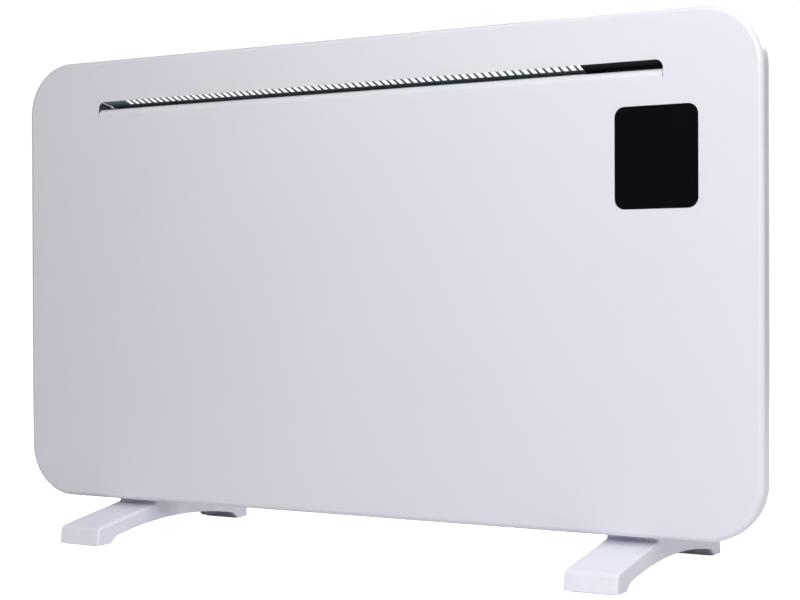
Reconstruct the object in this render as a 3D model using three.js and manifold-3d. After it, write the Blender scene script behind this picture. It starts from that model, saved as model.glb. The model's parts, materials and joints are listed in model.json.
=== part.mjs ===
// A wall panel convector heater on two feet: a pressed steel front panel with a rolled outlet slot,
// a sheet steel casing behind it, and between them the air duct with its finned heating elements.
// Millimetres, +Z up, the front faces -Y. The origin is on the floor, under the middle of the feet.
import * as THREE from 'three';
import { mergeVertices } from 'three/addons/utils/BufferGeometryUtils.js';
import Module from 'manifold-3d';

const wasm = await Module();
wasm.setup();

// ---- Driving dimensions ----
const panelWidth = 760;
const panelHeight = 430;
const panelDepth = 15.8;
const panelCorner = 50;
const panelFold = 4.5; // outside radius of the fold round the front
const rimWidth = 18; // rim turned in behind the panel
const sheet = 1; // steel sheet of the panel and the casing
const thinSheet = 0.8; // sheet of the parts inside
const floorGap = 36.2; // floor to the panel's lower edge
const gap = 0.3; // between pieces that touch
const screwGap = 0.3; // round a screw in its hole

const slotFromLeft = 89.1;
const slotFromRight = 82.9;
const slotFromTop = 40.8; // panel's top edge to the slot's upper edge
const slotHeight = 14.2; // upper edge to where the lip starts
const slotCorner = 7;
const lipRadius = 7.2;
const lipTail = 4; // flat behind the rolled lip
const lipRelief = 0.8; // gap at each end of the lip

const glassWidth = 71.6;
const glassHeight = 83.5;
const glassCorner = 8.5;
const glassThick = 2;
const glassFromRight = 53.4;
const glassFromTop = 78;

const bodyDepth = 82; // front of the panel to the back of the casing
const casingInset = 22; // panel's side edge to the casing's side
const casingLift = 12; // panel's lower edge to the casing's bottom
const casingCorner = 28;
const casingFold = 4;
const casingFlange = 10;

const grilleTilt = 18.3; // degrees, falling to the back
const ventPitch = 7.25;
const ventWidth = 5.2;
const frontVent = 11.3; // length of a front vent, measured level
const rearVent = 38;
const plainLeft = 38; // solid plate left of the first vent

const footLength = 243;
const footWidth = 46.7;
const footReach = 66.9; // how far the feet stand in front of the panel
const footInset = 119.1; // panel's side edge to a foot's middle
const footWall = 3;
const footRound = 3; // along its side edges
const footCorner = 4; // across its toe and saddle
const footToe = 17.2; // height of the toe
const footShoulder = 31.5; // height where the slope meets the saddle
const saddleOver = 3.6; // how far the saddle reaches past the casing's back
const footScrewInset = 11; // end of the saddle to a screw
const footPad = 18.5; // length of a toe's underside
const archRise = 16;
const padThick = 5;
const padStep = 1; // how far a rubber pad stands below its foot

const elementHub = 7;
const elementWing = 33; // hub's middle to a wing's tip
const elementSpread = 33; // degrees between a wing and the upright
const wingThick = 1.8;
const ribHeight = 2.6;
const ribsPerWing = 3;
const elementHeight = 74; // casing's bottom to the elements' middle
const tubeRadius = 3.2;

// ---- Places that follow from them ----
const panelFront = footReach - footLength / 2;
const panelInside = panelFront + sheet;
const panelRear = panelFront + panelDepth;
const panelSide = panelWidth / 2;
const panelLow = floorGap;
const panelTop = floorGap + panelHeight;

const slotLeft = slotFromLeft - panelSide;
const slotRight = panelSide - slotFromRight;
const slotTop = panelTop - slotFromTop;
const lipStart = slotTop - slotHeight;
const lipTop = lipStart + lipRadius;

const glassRight = panelSide - glassFromRight;
const glassLeft = glassRight - glassWidth;
const glassTop = panelTop - glassFromTop;
const glassLow = glassTop - glassHeight;
const glassMiddle = (glassLeft + glassRight) / 2;

const casingFront = panelRear + gap;
const casingRear = panelFront + bodyDepth;
const casingSide = panelSide - casingInset;
const casingLow = panelLow + casingLift;
const innerLow = casingLow + sheet;
const innerRear = casingRear - sheet;
const innerSide = casingSide - sheet;
const footX = panelSide - footInset;
const saddleHalf = casingRear + saddleOver;

// The roof plane is the underside of the outlet grille.
const fall = Math.tan(THREE.MathUtils.degToRad(grilleTilt));
const roofFront = panelInside + gap;
const roofAtFront = slotTop + 1.3;
const roofAt = (y, below = 0) => roofAtFront - fall * (y - roofFront) - below;
const upright = (thickness) => thickness / Math.cos(THREE.MathUtils.degToRad(grilleTilt));

const ductLeft = slotLeft + 3.4;
const ductRight = glassLeft - 13;
const shieldFront = casingFront + 1.2;
const shieldRear = shieldFront + thinSheet;
const elementY = (shieldRear + innerRear) / 2;
const elementZ = casingLow + elementHeight;

// ---- Tools for making solids ----
function solid(geometry) {
  const bare = geometry.clone();
  bare.deleteAttribute('normal');
  bare.deleteAttribute('uv');
  const merged = mergeVertices(bare, 1e-4);
  return new wasm.Manifold(new wasm.Mesh({
    numProp: 3,
    vertProperties: new Float32Array(merged.attributes.position.array),
    triVerts: new Uint32Array(merged.index.array),
  }));
}

function geometryOf(body) {
  const mesh = body.getMesh();
  const geometry = new THREE.BufferGeometry();
  geometry.setAttribute('position', new THREE.BufferAttribute(mesh.vertProperties, 3));
  geometry.setIndex(new THREE.BufferAttribute(mesh.triVerts, 1));
  geometry.computeVertexNormals();
  return geometry;
}

const join = (bodies) => bodies.reduce((whole, body) => whole.add(body));
const cut = (body, cutters) => body.subtract(join(cutters));

// A closed outline through corners [a, b, radius], each radius a true arc.
function outline(corners) {
  const shape = new THREE.Shape();
  corners.forEach(([a, b, radius = 0], i) => {
    const here = new THREE.Vector2(a, b);
    const [lastA, lastB] = corners.at(i - 1);
    const [nextA, nextB] = corners[(i + 1) % corners.length];
    const back = new THREE.Vector2(lastA, lastB).sub(here).normalize();
    const ahead = new THREE.Vector2(nextA, nextB).sub(here).normalize();
    const half = Math.acos(THREE.MathUtils.clamp(back.dot(ahead), -1, 1)) / 2;
    const start = here.clone().addScaledVector(back, radius / Math.tan(half));
    if (i === 0) shape.moveTo(start.x, start.y);
    else shape.lineTo(start.x, start.y);
    if (radius === 0) return;
    const end = here.clone().addScaledVector(ahead, radius / Math.tan(half));
    const middle = back.clone().add(ahead).normalize().multiplyScalar(radius / Math.sin(half)).add(here);
    const from = start.clone().sub(middle).angle();
    const to = end.clone().sub(middle).angle();
    shape.absarc(middle.x, middle.y, radius, from, to, back.cross(ahead) > 0);
  });
  return shape;
}

const rectangle = (left, right, low, high, lowRadius = 0, highRadius = lowRadius) => outline([
  [left, low, lowRadius],
  [right, low, lowRadius],
  [right, high, highRadius],
  [left, high, highRadius],
]);

function extruded(shape, depth, steps, round = 0, roundSteps = 2) {
  return new THREE.ExtrudeGeometry(shape, {
    depth: depth - 2 * round,
    curveSegments: steps,
    bevelEnabled: round > 0,
    bevelThickness: round,
    bevelSize: round,
    bevelOffset: -round,
    bevelSegments: roundSteps,
  });
}

// An outline seen from the front, (x, z), filled from one depth to another.
function frontSlab(shape, yFront, yBack, steps = 2) {
  const geometry = extruded(shape, yBack - yFront, steps);
  return solid(geometry.rotateX(Math.PI / 2).translate(0, yBack, 0));
}

// An outline seen from the right, (y, z), filled from left to right.
function sideSlab(shape, xLeft, xRight, steps = 2, round = 0, roundSteps = 2) {
  const geometry = extruded(shape, xRight - xLeft, steps, round, roundSteps);
  const axes = new THREE.Matrix4().makeBasis(
    new THREE.Vector3(0, 1, 0),
    new THREE.Vector3(0, 0, 1),
    new THREE.Vector3(1, 0, 0),
  );
  return solid(geometry.applyMatrix4(axes).translate(xLeft + round, 0, 0));
}

// An outline seen from above, (x, y), filled from low to high.
function planSlab(shape, zLow, zHigh, steps = 2) {
  return solid(extruded(shape, zHigh - zLow, steps).translate(0, 0, zLow));
}

const block = (left, right, front, back, low, high) =>
  solid(new THREE.BoxGeometry(right - left, back - front, high - low)
    .translate((left + right) / 2, (front + back) / 2, (low + high) / 2));

// A round bar from one value to another along an axis; at holds its other two coordinates.
function bar(axis, from, to, at, radius, sides = 16, endRadius = radius) {
  const geometry = new THREE.CylinderGeometry(endRadius, radius, to - from, sides);
  geometry.translate(0, (from + to) / 2, 0);
  if (axis === 'x') geometry.rotateZ(-Math.PI / 2).translate(0, at[0], at[1]);
  if (axis === 'y') geometry.translate(at[0], 0, at[1]);
  if (axis === 'z') geometry.rotateX(Math.PI / 2).translate(at[0], at[1], 0);
  return solid(geometry);
}

// A tray with a folded edge round its front or its back, before it is hollowed.
function foldedSlab(shape, yFront, yBack, fold, side, steps) {
  const roundSteps = 3;
  const depth = yBack - yFront + 2 * fold;
  const geometry = extruded(shape, depth, steps, fold, roundSteps);
  const low = side === 'front' ? yFront : yFront - 2 * fold;
  const whole = solid(geometry.rotateX(Math.PI / 2).translate(0, low + depth - fold, 0));
  const wide = 2 * panelWidth;
  const waste = side === 'front'
    ? block(-wide, wide, yBack, yBack + 3 * fold, -wide, wide)
    : block(-wide, wide, yFront - 3 * fold, yFront, -wide, wide);
  return whole.subtract(waste);
}

// Everything above the roof plane, lowered by below.
function aboveRoof(below, front = panelFront - 1, rear = casingRear + 1) {
  const high = panelTop + 1;
  const profile = outline([
    [front, roofAt(front, below)],
    [rear, roofAt(rear, below)],
    [rear, high],
    [front, high],
  ]);
  return sideSlab(profile, -panelWidth, panelWidth);
}

// ---- Screws ----
const casingScrew = { radius: 1.7, head: 3.6, headHigh: 2.2, long: 7 };
const footScrew = { radius: 2.3, head: 4.6, headHigh: 3 };

function casingScrewPlaces() {
  const x = casingSide + casingFlange / 2 + 1;
  const lowest = casingLow + casingCorner + 14;
  const highest = roofAt(casingFront) - 32;
  const places = [];
  for (const side of [-1, 1]) {
    for (const share of [0, 0.5, 1]) places.push([side * x, lowest + share * (highest - lowest)]);
    places.push([side * casingSide / 2, casingLow - casingFlange / 2 - 1]);
  }
  return places;
}

const casingScrewHoles = (yFront, yBack) => casingScrewPlaces()
  .map((at) => bar('y', yFront, yBack, at, casingScrew.radius + screwGap, 8));

function casingScrewBody(at) {
  const seat = casingFront + sheet + gap;
  const shank = bar('y', seat - casingScrew.long, seat + 0.5, at, casingScrew.radius, 8);
  const top = seat + casingScrew.headHigh;
  const head = bar('y', seat, top, at, casingScrew.head, 10, casingScrew.head * 0.72);
  return head.add(shank);
}

const footScrewY = saddleHalf - footScrewInset;
const footScrewHoles = (low, high) => [-footX, footX].flatMap((x) => [-footScrewY, footScrewY]
  .map((y) => bar('z', low, high, [x, y], footScrew.radius + screwGap, 12)));

// ---- Front panel ----
function frontPanel() {
  const steps = 4;
  const tray = (inset, yFront, yBack, fold) => foldedSlab(
    rectangle(-panelSide + inset, panelSide - inset, panelLow + inset, panelTop - inset, panelCorner - inset),
    yFront, yBack, fold, 'front', steps);
  const skin = tray(0, panelFront, panelRear, panelFold);
  const hollow = tray(sheet, panelInside, panelRear - sheet, panelFold - sheet);
  const mouth = frontSlab(rectangle(-panelSide + rimWidth, panelSide - rimWidth, panelLow + rimWidth,
    panelTop - rimWidth, panelCorner - rimWidth), panelRear - 2 * sheet, panelRear + 1, 3);
  const slot = frontSlab(rectangle(slotLeft, slotRight, lipStart, slotTop, 0, slotCorner),
    panelFront - 1, panelInside + 0.5, 3);
  const window = frontSlab(rectangle(glassLeft - gap, glassRight + gap, glassLow - gap, glassTop + gap,
    glassCorner + gap), panelFront - 1, panelInside + 0.5, 3);
  const holes = casingScrewHoles(panelRear - 2 * sheet, panelRear + 1);
  return cut(skin, [hollow, mouth, slot, window, ...holes]).add(rolledLip());
}

// The slot's lower edge, rolled inwards in a quarter turn with a short flat behind it.
function rolledLip() {
  const tail = panelFront + lipRadius + lipTail;
  const profile = outline([
    [panelFront, lipStart - sheet],
    [panelInside, lipStart - sheet],
    [panelInside, lipTop - sheet, lipRadius - sheet],
    [tail, lipTop - sheet],
    [tail, lipTop],
    [panelFront, lipTop, lipRadius],
  ]);
  return sideSlab(profile, slotLeft + lipRelief, slotRight - lipRelief, 4);
}

// ---- Outlet grille ----
// A plate under the slot's upper edge that falls to the back, with vents in two rows.
const grilleRear = casingRear - 5;
const grilleEdge = ductLeft + 1.6;
const ventLeft = slotLeft + plainLeft;
const visorLeft = ductRight - 18; // black flange of the control housing under the plate's end
const ventCount = Math.floor((visorLeft + 2 - ventLeft) / ventPitch);

function outletGrille() {
  const flangeHigh = 8;
  const thick = upright(thinSheet);
  const plate = sideSlab(outline([
    [roofFront, roofAt(roofFront)],
    [grilleRear, roofAt(grilleRear)],
    [grilleRear, roofAt(grilleRear) + thick],
    [roofFront + thinSheet, roofAt(roofFront + thinSheet) + thick],
    [roofFront + thinSheet, roofAtFront + flangeHigh],
    [roofFront, roofAtFront + flangeHigh],
  ]), slotLeft - 2, ductRight);
  const low = roofAt(casingRear) - 10;
  const corner = planSlab(outline([
    [slotLeft - 20, roofFront - 5],
    [slotLeft - 1.4, roofFront - 5],
    [slotLeft - 1.4, roofFront],
    [grilleEdge, casingFront],
    [grilleEdge, grilleRear + 5],
    [slotLeft - 20, grilleRear + 5],
  ]), low, panelTop);
  const frontStart = roofFront + 2;
  const rearStart = frontStart + frontVent + 8;
  const vents = [];
  for (let i = 0; i < ventCount; i += 1) {
    const left = ventLeft + i * ventPitch;
    vents.push(rectangle(left, left + ventWidth, frontStart, frontStart + frontVent));
    const wide = ventWidth + ventPitch / 2;
    if (i % 2 === 0) vents.push(rectangle(left, left + wide, rearStart, rearStart + rearVent));
  }
  return cut(plate, [corner, planSlab(vents, low, panelTop)]);
}

// ---- Rear casing ----
const keyholeX = casingSide * 0.56;
const keyholeZ = casingLow + 270;
const switchY = panelFront + bodyDepth * 0.6;
const switchZ = casingLow + 150;
const switchCut = { deep: 13, high: 19 };
const glandX = (ductRight + innerSide) / 2 + 24;
const glandZ = casingLow + 40;
const glandRadius = 6;

// An upright slot with round ends.
function pill(x, y, width, length) {
  const radius = width / 2;
  const reach = length / 2 - radius;
  const shape = new THREE.Shape();
  shape.moveTo(x + radius, y - reach);
  shape.lineTo(x + radius, y + reach);
  shape.absarc(x, y + reach, radius, 0, Math.PI, false);
  shape.lineTo(x - radius, y - reach);
  shape.absarc(x, y - reach, radius, Math.PI, 2 * Math.PI, false);
  return shape;
}

function inletSlots() {
  const width = 9;
  const pitch = 28;
  const middleY = (casingFront + casingRear) / 2;
  const clear = footX - footWidth / 2 - pitch / 2;
  const half = Math.floor(Math.min(clear, ductRight - pitch, -ductLeft - pitch) / pitch);
  const places = Array.from({ length: 2 * half + 1 }, (_, i) => (i - half) * pitch);
  const under = places.map((x) => pill(x, middleY, width, 42));
  const behind = places.map((x) => pill(x, casingLow + 45, width, 44));
  return [
    planSlab(under, casingLow - 1, innerLow + 1),
    frontSlab(behind, innerRear - 1, casingRear + 1),
  ];
}

function keyhole(x) {
  const headRadius = 6;
  const neck = 3.2;
  const travel = 16;
  return join([
    bar('y', innerRear - 1, casingRear + 1, [x, keyholeZ], headRadius, 20),
    frontSlab(pill(x, keyholeZ + travel / 2, 2 * neck, travel + 2 * neck), innerRear - 1, casingRear + 1),
  ]);
}

function rearCasing() {
  const steps = 2;
  const high = panelTop - 4;
  const shell = (inset, yBack, fold, below) => foldedSlab(
    rectangle(-casingSide + inset, casingSide - inset, casingLow + inset, high, casingCorner - inset, 0),
    casingFront - inset, yBack, fold, 'back', steps).subtract(aboveRoof(below));
  const outside = shell(0, casingRear, casingFold, gap);
  const inside = shell(sheet, innerRear, casingFold - sheet, gap + upright(sheet));
  const flangeTop = roofAt(casingFront) - 22;
  const wide = casingSide + casingFlange;
  const flange = frontSlab(rectangle(-wide, wide, casingLow - casingFlange, flangeTop,
    casingCorner + casingFlange, 4), casingFront, casingFront + sheet, steps);
  const outlet = block(grilleEdge + 4, ductRight - 4, casingFront - 1, grilleRear - 5,
    roofAt(casingRear) - 6, panelTop);
  const switchHole = block(innerSide - 1, casingSide + 1, switchY - switchCut.deep / 2,
    switchY + switchCut.deep / 2, switchZ - switchCut.high / 2, switchZ + switchCut.high / 2);
  return cut(outside.add(flange), [
    inside,
    outlet,
    switchHole,
    keyhole(-keyholeX),
    keyhole(keyholeX),
    bar('y', innerRear - 1, casingRear + 1, [glandX, glandZ], glandRadius + gap, 20),
    ...inletSlots(),
    ...footScrewHoles(casingLow - 1, innerLow + 1),
    ...casingScrewHoles(casingFront - 1, casingFront + 2 * sheet),
  ]);
}

// ---- Air duct ----
const wallLeft = ductLeft - thinSheet;
const wallRight = ductRight - 3.4;
const seatHigh = 8; // side of the channel that takes a foot's screws
const bushRadius = 6.3;

// A wall of the duct: a sheet with flanges turned in at its front and back, and a bush hole.
function ductWall(x, inward, topDrop) {
  const front = shieldRear + gap;
  const rear = innerRear - gap;
  const low = innerLow + seatHigh + 2;
  const flange = 10;
  const profile = (from, to) => outline([
    [from, low],
    [to, low],
    [to, roofAt(to, topDrop)],
    [from, roofAt(from, topDrop)],
  ]);
  const flangeLeft = inward > 0 ? x : x + thinSheet - flange;
  return cut(join([
    sideSlab(profile(front, rear), x, x + thinSheet),
    sideSlab(profile(front, front + thinSheet), flangeLeft, flangeLeft + flange),
    sideSlab(profile(rear - thinSheet, rear), flangeLeft, flangeLeft + flange),
  ]), [bar('x', x - 1, x + thinSheet + 1, [elementY, elementZ], bushRadius + gap, 16)]);
}

// The left wall also carries the flared cheek that closes the outlet slot's left end.
function ductWallLeft() {
  const below = gap + upright(sheet) + gap;
  const cheekFront = roofFront + 0.5;
  const cheek = planSlab(outline([
    [slotLeft - 3.2, cheekFront],
    [slotLeft - 2.4, cheekFront],
    [ductLeft, casingFront - 0.6],
    [ductLeft, shieldRear + 4],
    [wallLeft, shieldRear + 4],
    [wallLeft, casingFront - 0.6],
  ]), lipTop + gap, panelTop);
  const rise = casingFront - gap;
  const topFront = aboveRoof(-0.4, panelFront - 1, rise);
  const topRear = aboveRoof(below, rise - 0.01);
  return ductWall(wallLeft, 1, below).add(cut(cheek, [topFront, topRear]));
}

const visorThick = 1.6;

function ductWallRight() {
  const wall = ductWall(wallRight, -1, gap + upright(sheet) + gap);
  const cutOutHole = bar('x', wallRight - 1, wallRight + 2, [elementY, cutOutZ], cutOutRadius + gap, 20);
  return wall.subtract(cutOutHole);
}

// The shield stands behind the panel and turns forward under the rolled lip.
function heatShield() {
  const top = lipTop - sheet - gap;
  const profile = outline([
    [shieldFront, innerLow + 34],
    [shieldRear, innerLow + 34],
    [shieldRear, top, 2],
    [panelFront + lipRadius + 1.2, top],
    [panelFront + lipRadius + 1.2, top - thinSheet],
    [shieldFront, top - thinSheet, 2 - thinSheet],
  ]);
  return sideSlab(profile, ductLeft + gap, wallRight - gap);
}

// ---- Heating elements ----
const bushLong = 9;
const bracketX = (ductLeft + wallRight) / 2;
const bracketHalf = 11; // middle of the bracket to the outside of an arm
const elementStart = ductLeft + bushLong + gap;
const elementEnd = bracketX - bracketHalf - bushLong - gap;
const elementLong = elementEnd - elementStart;

// Four wings on a hub, each wing with small ribs on both faces.
function elementProfile() {
  const up = Math.PI / 2;
  const spread = THREE.MathUtils.degToRad(elementSpread);
  const root = elementHub * 0.8;
  const step = (elementWing - root) / (ribsPerWing + 0.5);
  const points = [];
  const add = (angle, along, across) => points.push(new THREE.Vector2(
    elementY + along * Math.cos(angle) - across * Math.sin(angle),
    elementZ + along * Math.sin(angle) + across * Math.cos(angle)));
  for (const angle of [up - spread, up + spread, 3 * up - spread, 3 * up + spread]) {
    for (const side of [-1, 1]) {
      const face = side * wingThick / 2;
      const edge = [[root, face]];
      for (let rib = 1; rib <= ribsPerWing; rib += 1) {
        const near = root + rib * step - wingThick / 2;
        const tip = face + side * ribHeight;
        edge.push([near, face], [near, tip], [near + wingThick * 0.7, tip], [near + wingThick * 0.7, face]);
      }
      edge.push([elementWing, face]);
      if (side > 0) edge.reverse();
      edge.forEach(([along, across]) => add(angle, along, across));
    }
  }
  return new THREE.Shape(points);
}

function heatingElement(start) {
  const end = start + elementLong;
  const reach = bushLong + 6;
  return join([
    sideSlab(elementProfile(), start, end),
    bar('x', start, end, [elementY, elementZ], elementHub, 16),
    bar('x', start - reach, end + reach, [elementY, elementZ], tubeRadius, 10),
  ]);
}

// A ceramic bush between an element and the sheet that carries it; towards is the sheet's side.
function insulator(face, towards) {
  const collar = 9;
  const through = thinSheet + 4;
  const bore = tubeRadius + gap;
  const profile = [
    [bore, 0],
    [collar - 1, 0],
    [collar, 1],
    [collar, bushLong - 2 * gap],
    [bushRadius, bushLong - 2 * gap],
    [bushRadius, bushLong + through],
    [bore, bushLong + through],
    [bore, 0],
  ].map(([radius, along]) => new THREE.Vector2(radius, along));
  const geometry = new THREE.LatheGeometry(profile, 10);
  geometry.rotateZ(-Math.PI / 2 * towards).translate(face, elementY, elementZ);
  return solid(geometry);
}

// A bracket on the casing's back with one arm for each element.
function elementBracket() {
  const rear = innerRear - gap;
  const half = 17;
  const arms = [bracketX - bracketHalf, bracketX + bracketHalf - thinSheet].map((left) => sideSlab(outline([
    [elementY - half, elementZ - half, 8],
    [rear, elementZ - half],
    [rear, elementZ + half],
    [elementY - half, elementZ + half, 8],
  ]), left, left + thinSheet));
  const web = block(bracketX - bracketHalf, bracketX + bracketHalf, rear - thinSheet, rear,
    elementZ - half, elementZ + half);
  const hole = bar('x', bracketX - 2 * bracketHalf, bracketX + 2 * bracketHalf, [elementY, elementZ],
    bushRadius + gap, 16);
  return join([...arms, web]).subtract(hole);
}

// ---- Display ----
const glassFront = panelFront;
const frameFront = panelInside + gap;
const frameRear = casingFront - gap - 3.8;
const frameBorder = 6;
const ledge = 3; // what the glass rests on, measured in from its edge
const pocket = glassFront + glassThick + gap;

function displayGlass() {
  const shape = rectangle(glassLeft, glassRight, glassLow, glassTop, glassCorner);
  return frontSlab(shape, glassFront, glassFront + glassThick, 4);
}

function displayFrame() {
  const border = (out, radius) => rectangle(glassLeft - out, glassRight + out, glassLow - out,
    glassTop + out, radius);
  return cut(frontSlab(border(frameBorder, 6), frameFront, frameRear), [
    frontSlab(border(gap, glassCorner), frameFront - 1, pocket, 3),
    frontSlab(border(-ledge, 4), pocket - 0.1, frameRear + 1),
    frontSlab(border(-ledge + 2, 4), pocket + 2, frameRear + 1),
  ]);
}

function displayBoard() {
  const edge = ledge - 2 + gap;
  const front = pocket + 2 + gap;
  const digits = block(glassMiddle - 24, glassMiddle + 24, front - 2, front + 0.5, glassTop - 42, glassTop - 14);
  const board = frontSlab(rectangle(glassLeft + edge, glassRight - edge, glassLow + edge, glassTop - edge, 3),
    front, front + 1.6);
  return board.add(digits);
}

// ---- Control housing ----
// Moulded black box behind the slot's right end; its visor reaches forward under the roof plane.
const housingLeft = ductRight + 0.6;
const housingRight = housingLeft + 98;
const housingFront = frameRear + gap;
const housingRear = panelFront + 56;
const housingLow = glassLow - 12;
const housingWall = 2;
const visorRight = slotRight + 6;
const boardY = housingFront + 16;
const coverThick = 2;

function controlHousing() {
  const below = gap;
  const roof = upright(visorThick) + below;
  const side = (front, rear, low, drop) => outline([
    [front, low],
    [rear, low],
    [rear, roofAt(rear, drop)],
    [front, roofAt(front, drop)],
  ]);
  const topDrop = 2 * gap + upright(sheet);
  const box = sideSlab(side(housingFront, housingRear, housingLow, topDrop), housingLeft, housingRight);
  const room = sideSlab(side(housingFront + housingWall, housingRear + 1, housingLow + housingWall,
    topDrop + housingWall), housingLeft + housingWall, housingRight - housingWall);
  const visorRear = casingFront - gap;
  const visor = sideSlab(outline([
    [roofFront, roofAt(roofFront, roof)],
    [visorRear, roofAt(visorRear, roof)],
    [visorRear, roofAt(visorRear, below)],
    [roofFront, roofAt(roofFront, below)],
  ]), visorLeft, visorRight);
  const skirt = block(housingLeft, housingRight, housingFront, housingFront + housingWall,
    roofAt(visorRear) - 12, roofAt(visorRear, below) - 0.2);
  const window = frontSlab(rectangle(glassMiddle - 18, glassMiddle + 18, glassLow + 8, glassLow + 30, 2),
    housingFront - 1, housingFront + housingWall + 1);
  const posts = boardPosts().map((at) => bar('y', housingFront + 0.5, boardY - gap, at, 3, 12));
  return join([box.subtract(room), visor, skirt, ...posts]).subtract(window);
}

const boardPosts = () => [housingLeft + 12, housingRight - 12]
  .flatMap((x) => [housingLow + 14, glassTop - 10].map((z) => [x, z]));

function housingCover() {
  const inset = housingWall + gap;
  const top = roofAt(housingRear, 2 * gap + upright(sheet) + housingWall) - 1;
  const plate = frontSlab(rectangle(housingLeft, housingRight, housingLow, top, 3),
    housingRear + gap, housingRear + gap + coverThick);
  const rim = frontSlab(rectangle(housingLeft + inset, housingRight - inset, housingLow + inset, top - 4, 2),
    housingRear - 4, housingRear + gap + 0.5);
  const room = frontSlab(rectangle(housingLeft + inset + 1.5, housingRight - inset - 1.5,
    housingLow + inset + 1.5, top - 5.5, 2), housingRear - 5, housingRear + gap);
  return rim.subtract(room).add(plate);
}

const boardThick = 1.6;
const partsY = boardY + boardThick + gap;

function powerBoard() {
  const board = frontSlab(rectangle(housingLeft + 5, housingRight - 5, housingLow + 6, glassTop - 2, 2),
    boardY, boardY + boardThick);
  return board;
}

function heaterRelay() {
  const left = housingLeft + 12;
  const low = housingLow + 16;
  return block(left, left + 19, partsY, partsY + 15, low, low + 15.5);
}

function boardTransformer() {
  const left = housingRight - 44;
  const low = housingLow + 18;
  return join([
    block(left, left + 32, partsY, partsY + 16, low + 5, low + 22),
    block(left + 7, left + 25, partsY, partsY + 17, low, low + 27),
  ]);
}

function boardHeatSink() {
  const left = housingLeft + 16;
  const low = housingLow + 60;
  const fins = 6;
  const base = block(left, left + 40, partsY, partsY + 2.5, low, low + 26);
  const blades = Array.from({ length: fins }, (_, i) => {
    const x = left + i * (40 - 1.5) / (fins - 1);
    return block(x, x + 1.5, partsY + 2, partsY + 14, low, low + 26);
  });
  return join([base, ...blades]);
}

// ---- Thermal cut-out and room sensor ----
const cutOutRadius = 8;
const cutOutZ = elementZ + 80;

function thermalCutOut() {
  const face = wallRight - gap;
  const at = [elementY, cutOutZ];
  const tabs = [-4.5, 4.5].map((side) => block(wallRight + 6, wallRight + 14, elementY + side - 0.4,
    elementY + side + 0.4, cutOutZ - 3, cutOutZ + 3));
  return join([
    bar('x', face - 4, face, at, cutOutRadius + 2.5, 18),
    bar('x', face - 0.5, wallRight + 7, at, cutOutRadius, 18),
    ...tabs,
  ]);
}

const sensorX = ductLeft - 24; // in the cool bay left of the duct

function roomSensor() {
  const low = innerLow + gap;
  const y = casingFront + 8;
  const clip = sideSlab(outline([
    [y - 3.5, low],
    [y + 16, low],
    [y + 16, low + 1],
    [y + 3.5, low + 1],
    [y + 3.5, low + 7, 2],
    [y - 3.5, low + 7, 2],
  ]), sensorX - 4, sensorX + 4);
  return clip.add(bar('x', sensorX - 11, sensorX + 12, [y, low + 3.6], 2.4, 12));
}

// ---- Mains side ----
function cordGland() {
  const bore = 3.9;
  const profile = [
    [bore, -12],
    [glandRadius, -12],
    [glandRadius, gap],
    [glandRadius + 3, gap],
    [glandRadius + 3, 2.6],
    [glandRadius - 0.4, 7],
    [bore, 7],
    [bore, -12],
  ].map(([radius, along]) => new THREE.Vector2(radius, along));
  return solid(new THREE.LatheGeometry(profile, 18).translate(glandX, casingRear, glandZ));
}

function glandNut() {
  const rear = innerRear - gap;
  const nut = bar('y', rear - 5, rear, [glandX, glandZ], glandRadius + 4.2, 6);
  return nut.subtract(bar('y', rear - 6, rear + 1, [glandX, glandZ], glandRadius + gap, 18));
}

function terminalBlock() {
  const rear = innerRear - gap;
  const pitch = 11;
  const low = glandZ + 28;
  const poles = [-1, 0, 1].map((i) => glandX + i * pitch);
  const body = join(poles.map((x) => block(x - 4.5, x + 4.5, rear - 14, rear, low, low + 24)));
  const base = block(glandX - 1.5 * pitch, glandX + 1.5 * pitch, rear - 9, rear, low + 3, low + 21);
  const wires = poles.map((x) => bar('z', low - 1, low + 25, [x, rear - 7.5], 2.1, 6));
  const screws = poles.flatMap((x) => [low + 6, low + 18]
    .map((z) => bar('y', rear - 15, rear - 10, [x, z], 1.9, 6)));
  return cut(body.add(base), [...wires, ...screws]);
}

// ---- Mains rocker switch ----
const bezel = { deep: 15.4, high: 21.4, thick: 1.8 };
const switchWall = 1.2;
const switchLong = 20;
const rockerDeep = 9.4;
const rockerHigh = 15;
const rockerRest = 9; // degrees, the lower half pressed in
const rockerPin = 1.2;
const rockerAxisX = casingSide + gap - 1.5;

function switchBody() {
  const face = casingSide + gap;
  const halfY = switchCut.deep / 2 - gap;
  const halfZ = switchCut.high / 2 - gap;
  const plate = sideSlab(rectangle(switchY - bezel.deep / 2, switchY + bezel.deep / 2,
    switchZ - bezel.high / 2, switchZ + bezel.high / 2, 1.5), face, face + bezel.thick);
  const box = block(face - switchLong, face + 0.5, switchY - halfY, switchY + halfY,
    switchZ - halfZ, switchZ + halfZ);
  const room = block(face - switchLong + 4, face + 4, switchY - rockerDeep / 2 - 0.5,
    switchY + rockerDeep / 2 + 0.5, switchZ - rockerHigh / 2 - 0.9, switchZ + rockerHigh / 2 + 0.9);
  const pivot = bar('y', switchY - halfY - 1, switchY + halfY + 1, [rockerAxisX, switchZ],
    rockerPin + gap, 16);
  const tabs = [-5, 5].map((side) => block(face - switchLong - 7, face - switchLong + 0.5, switchY - 2.4,
    switchY + 2.4, switchZ + side - 0.4, switchZ + side + 0.4));
  return cut(join([plate, box, ...tabs]), [room, pivot]);
}

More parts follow.
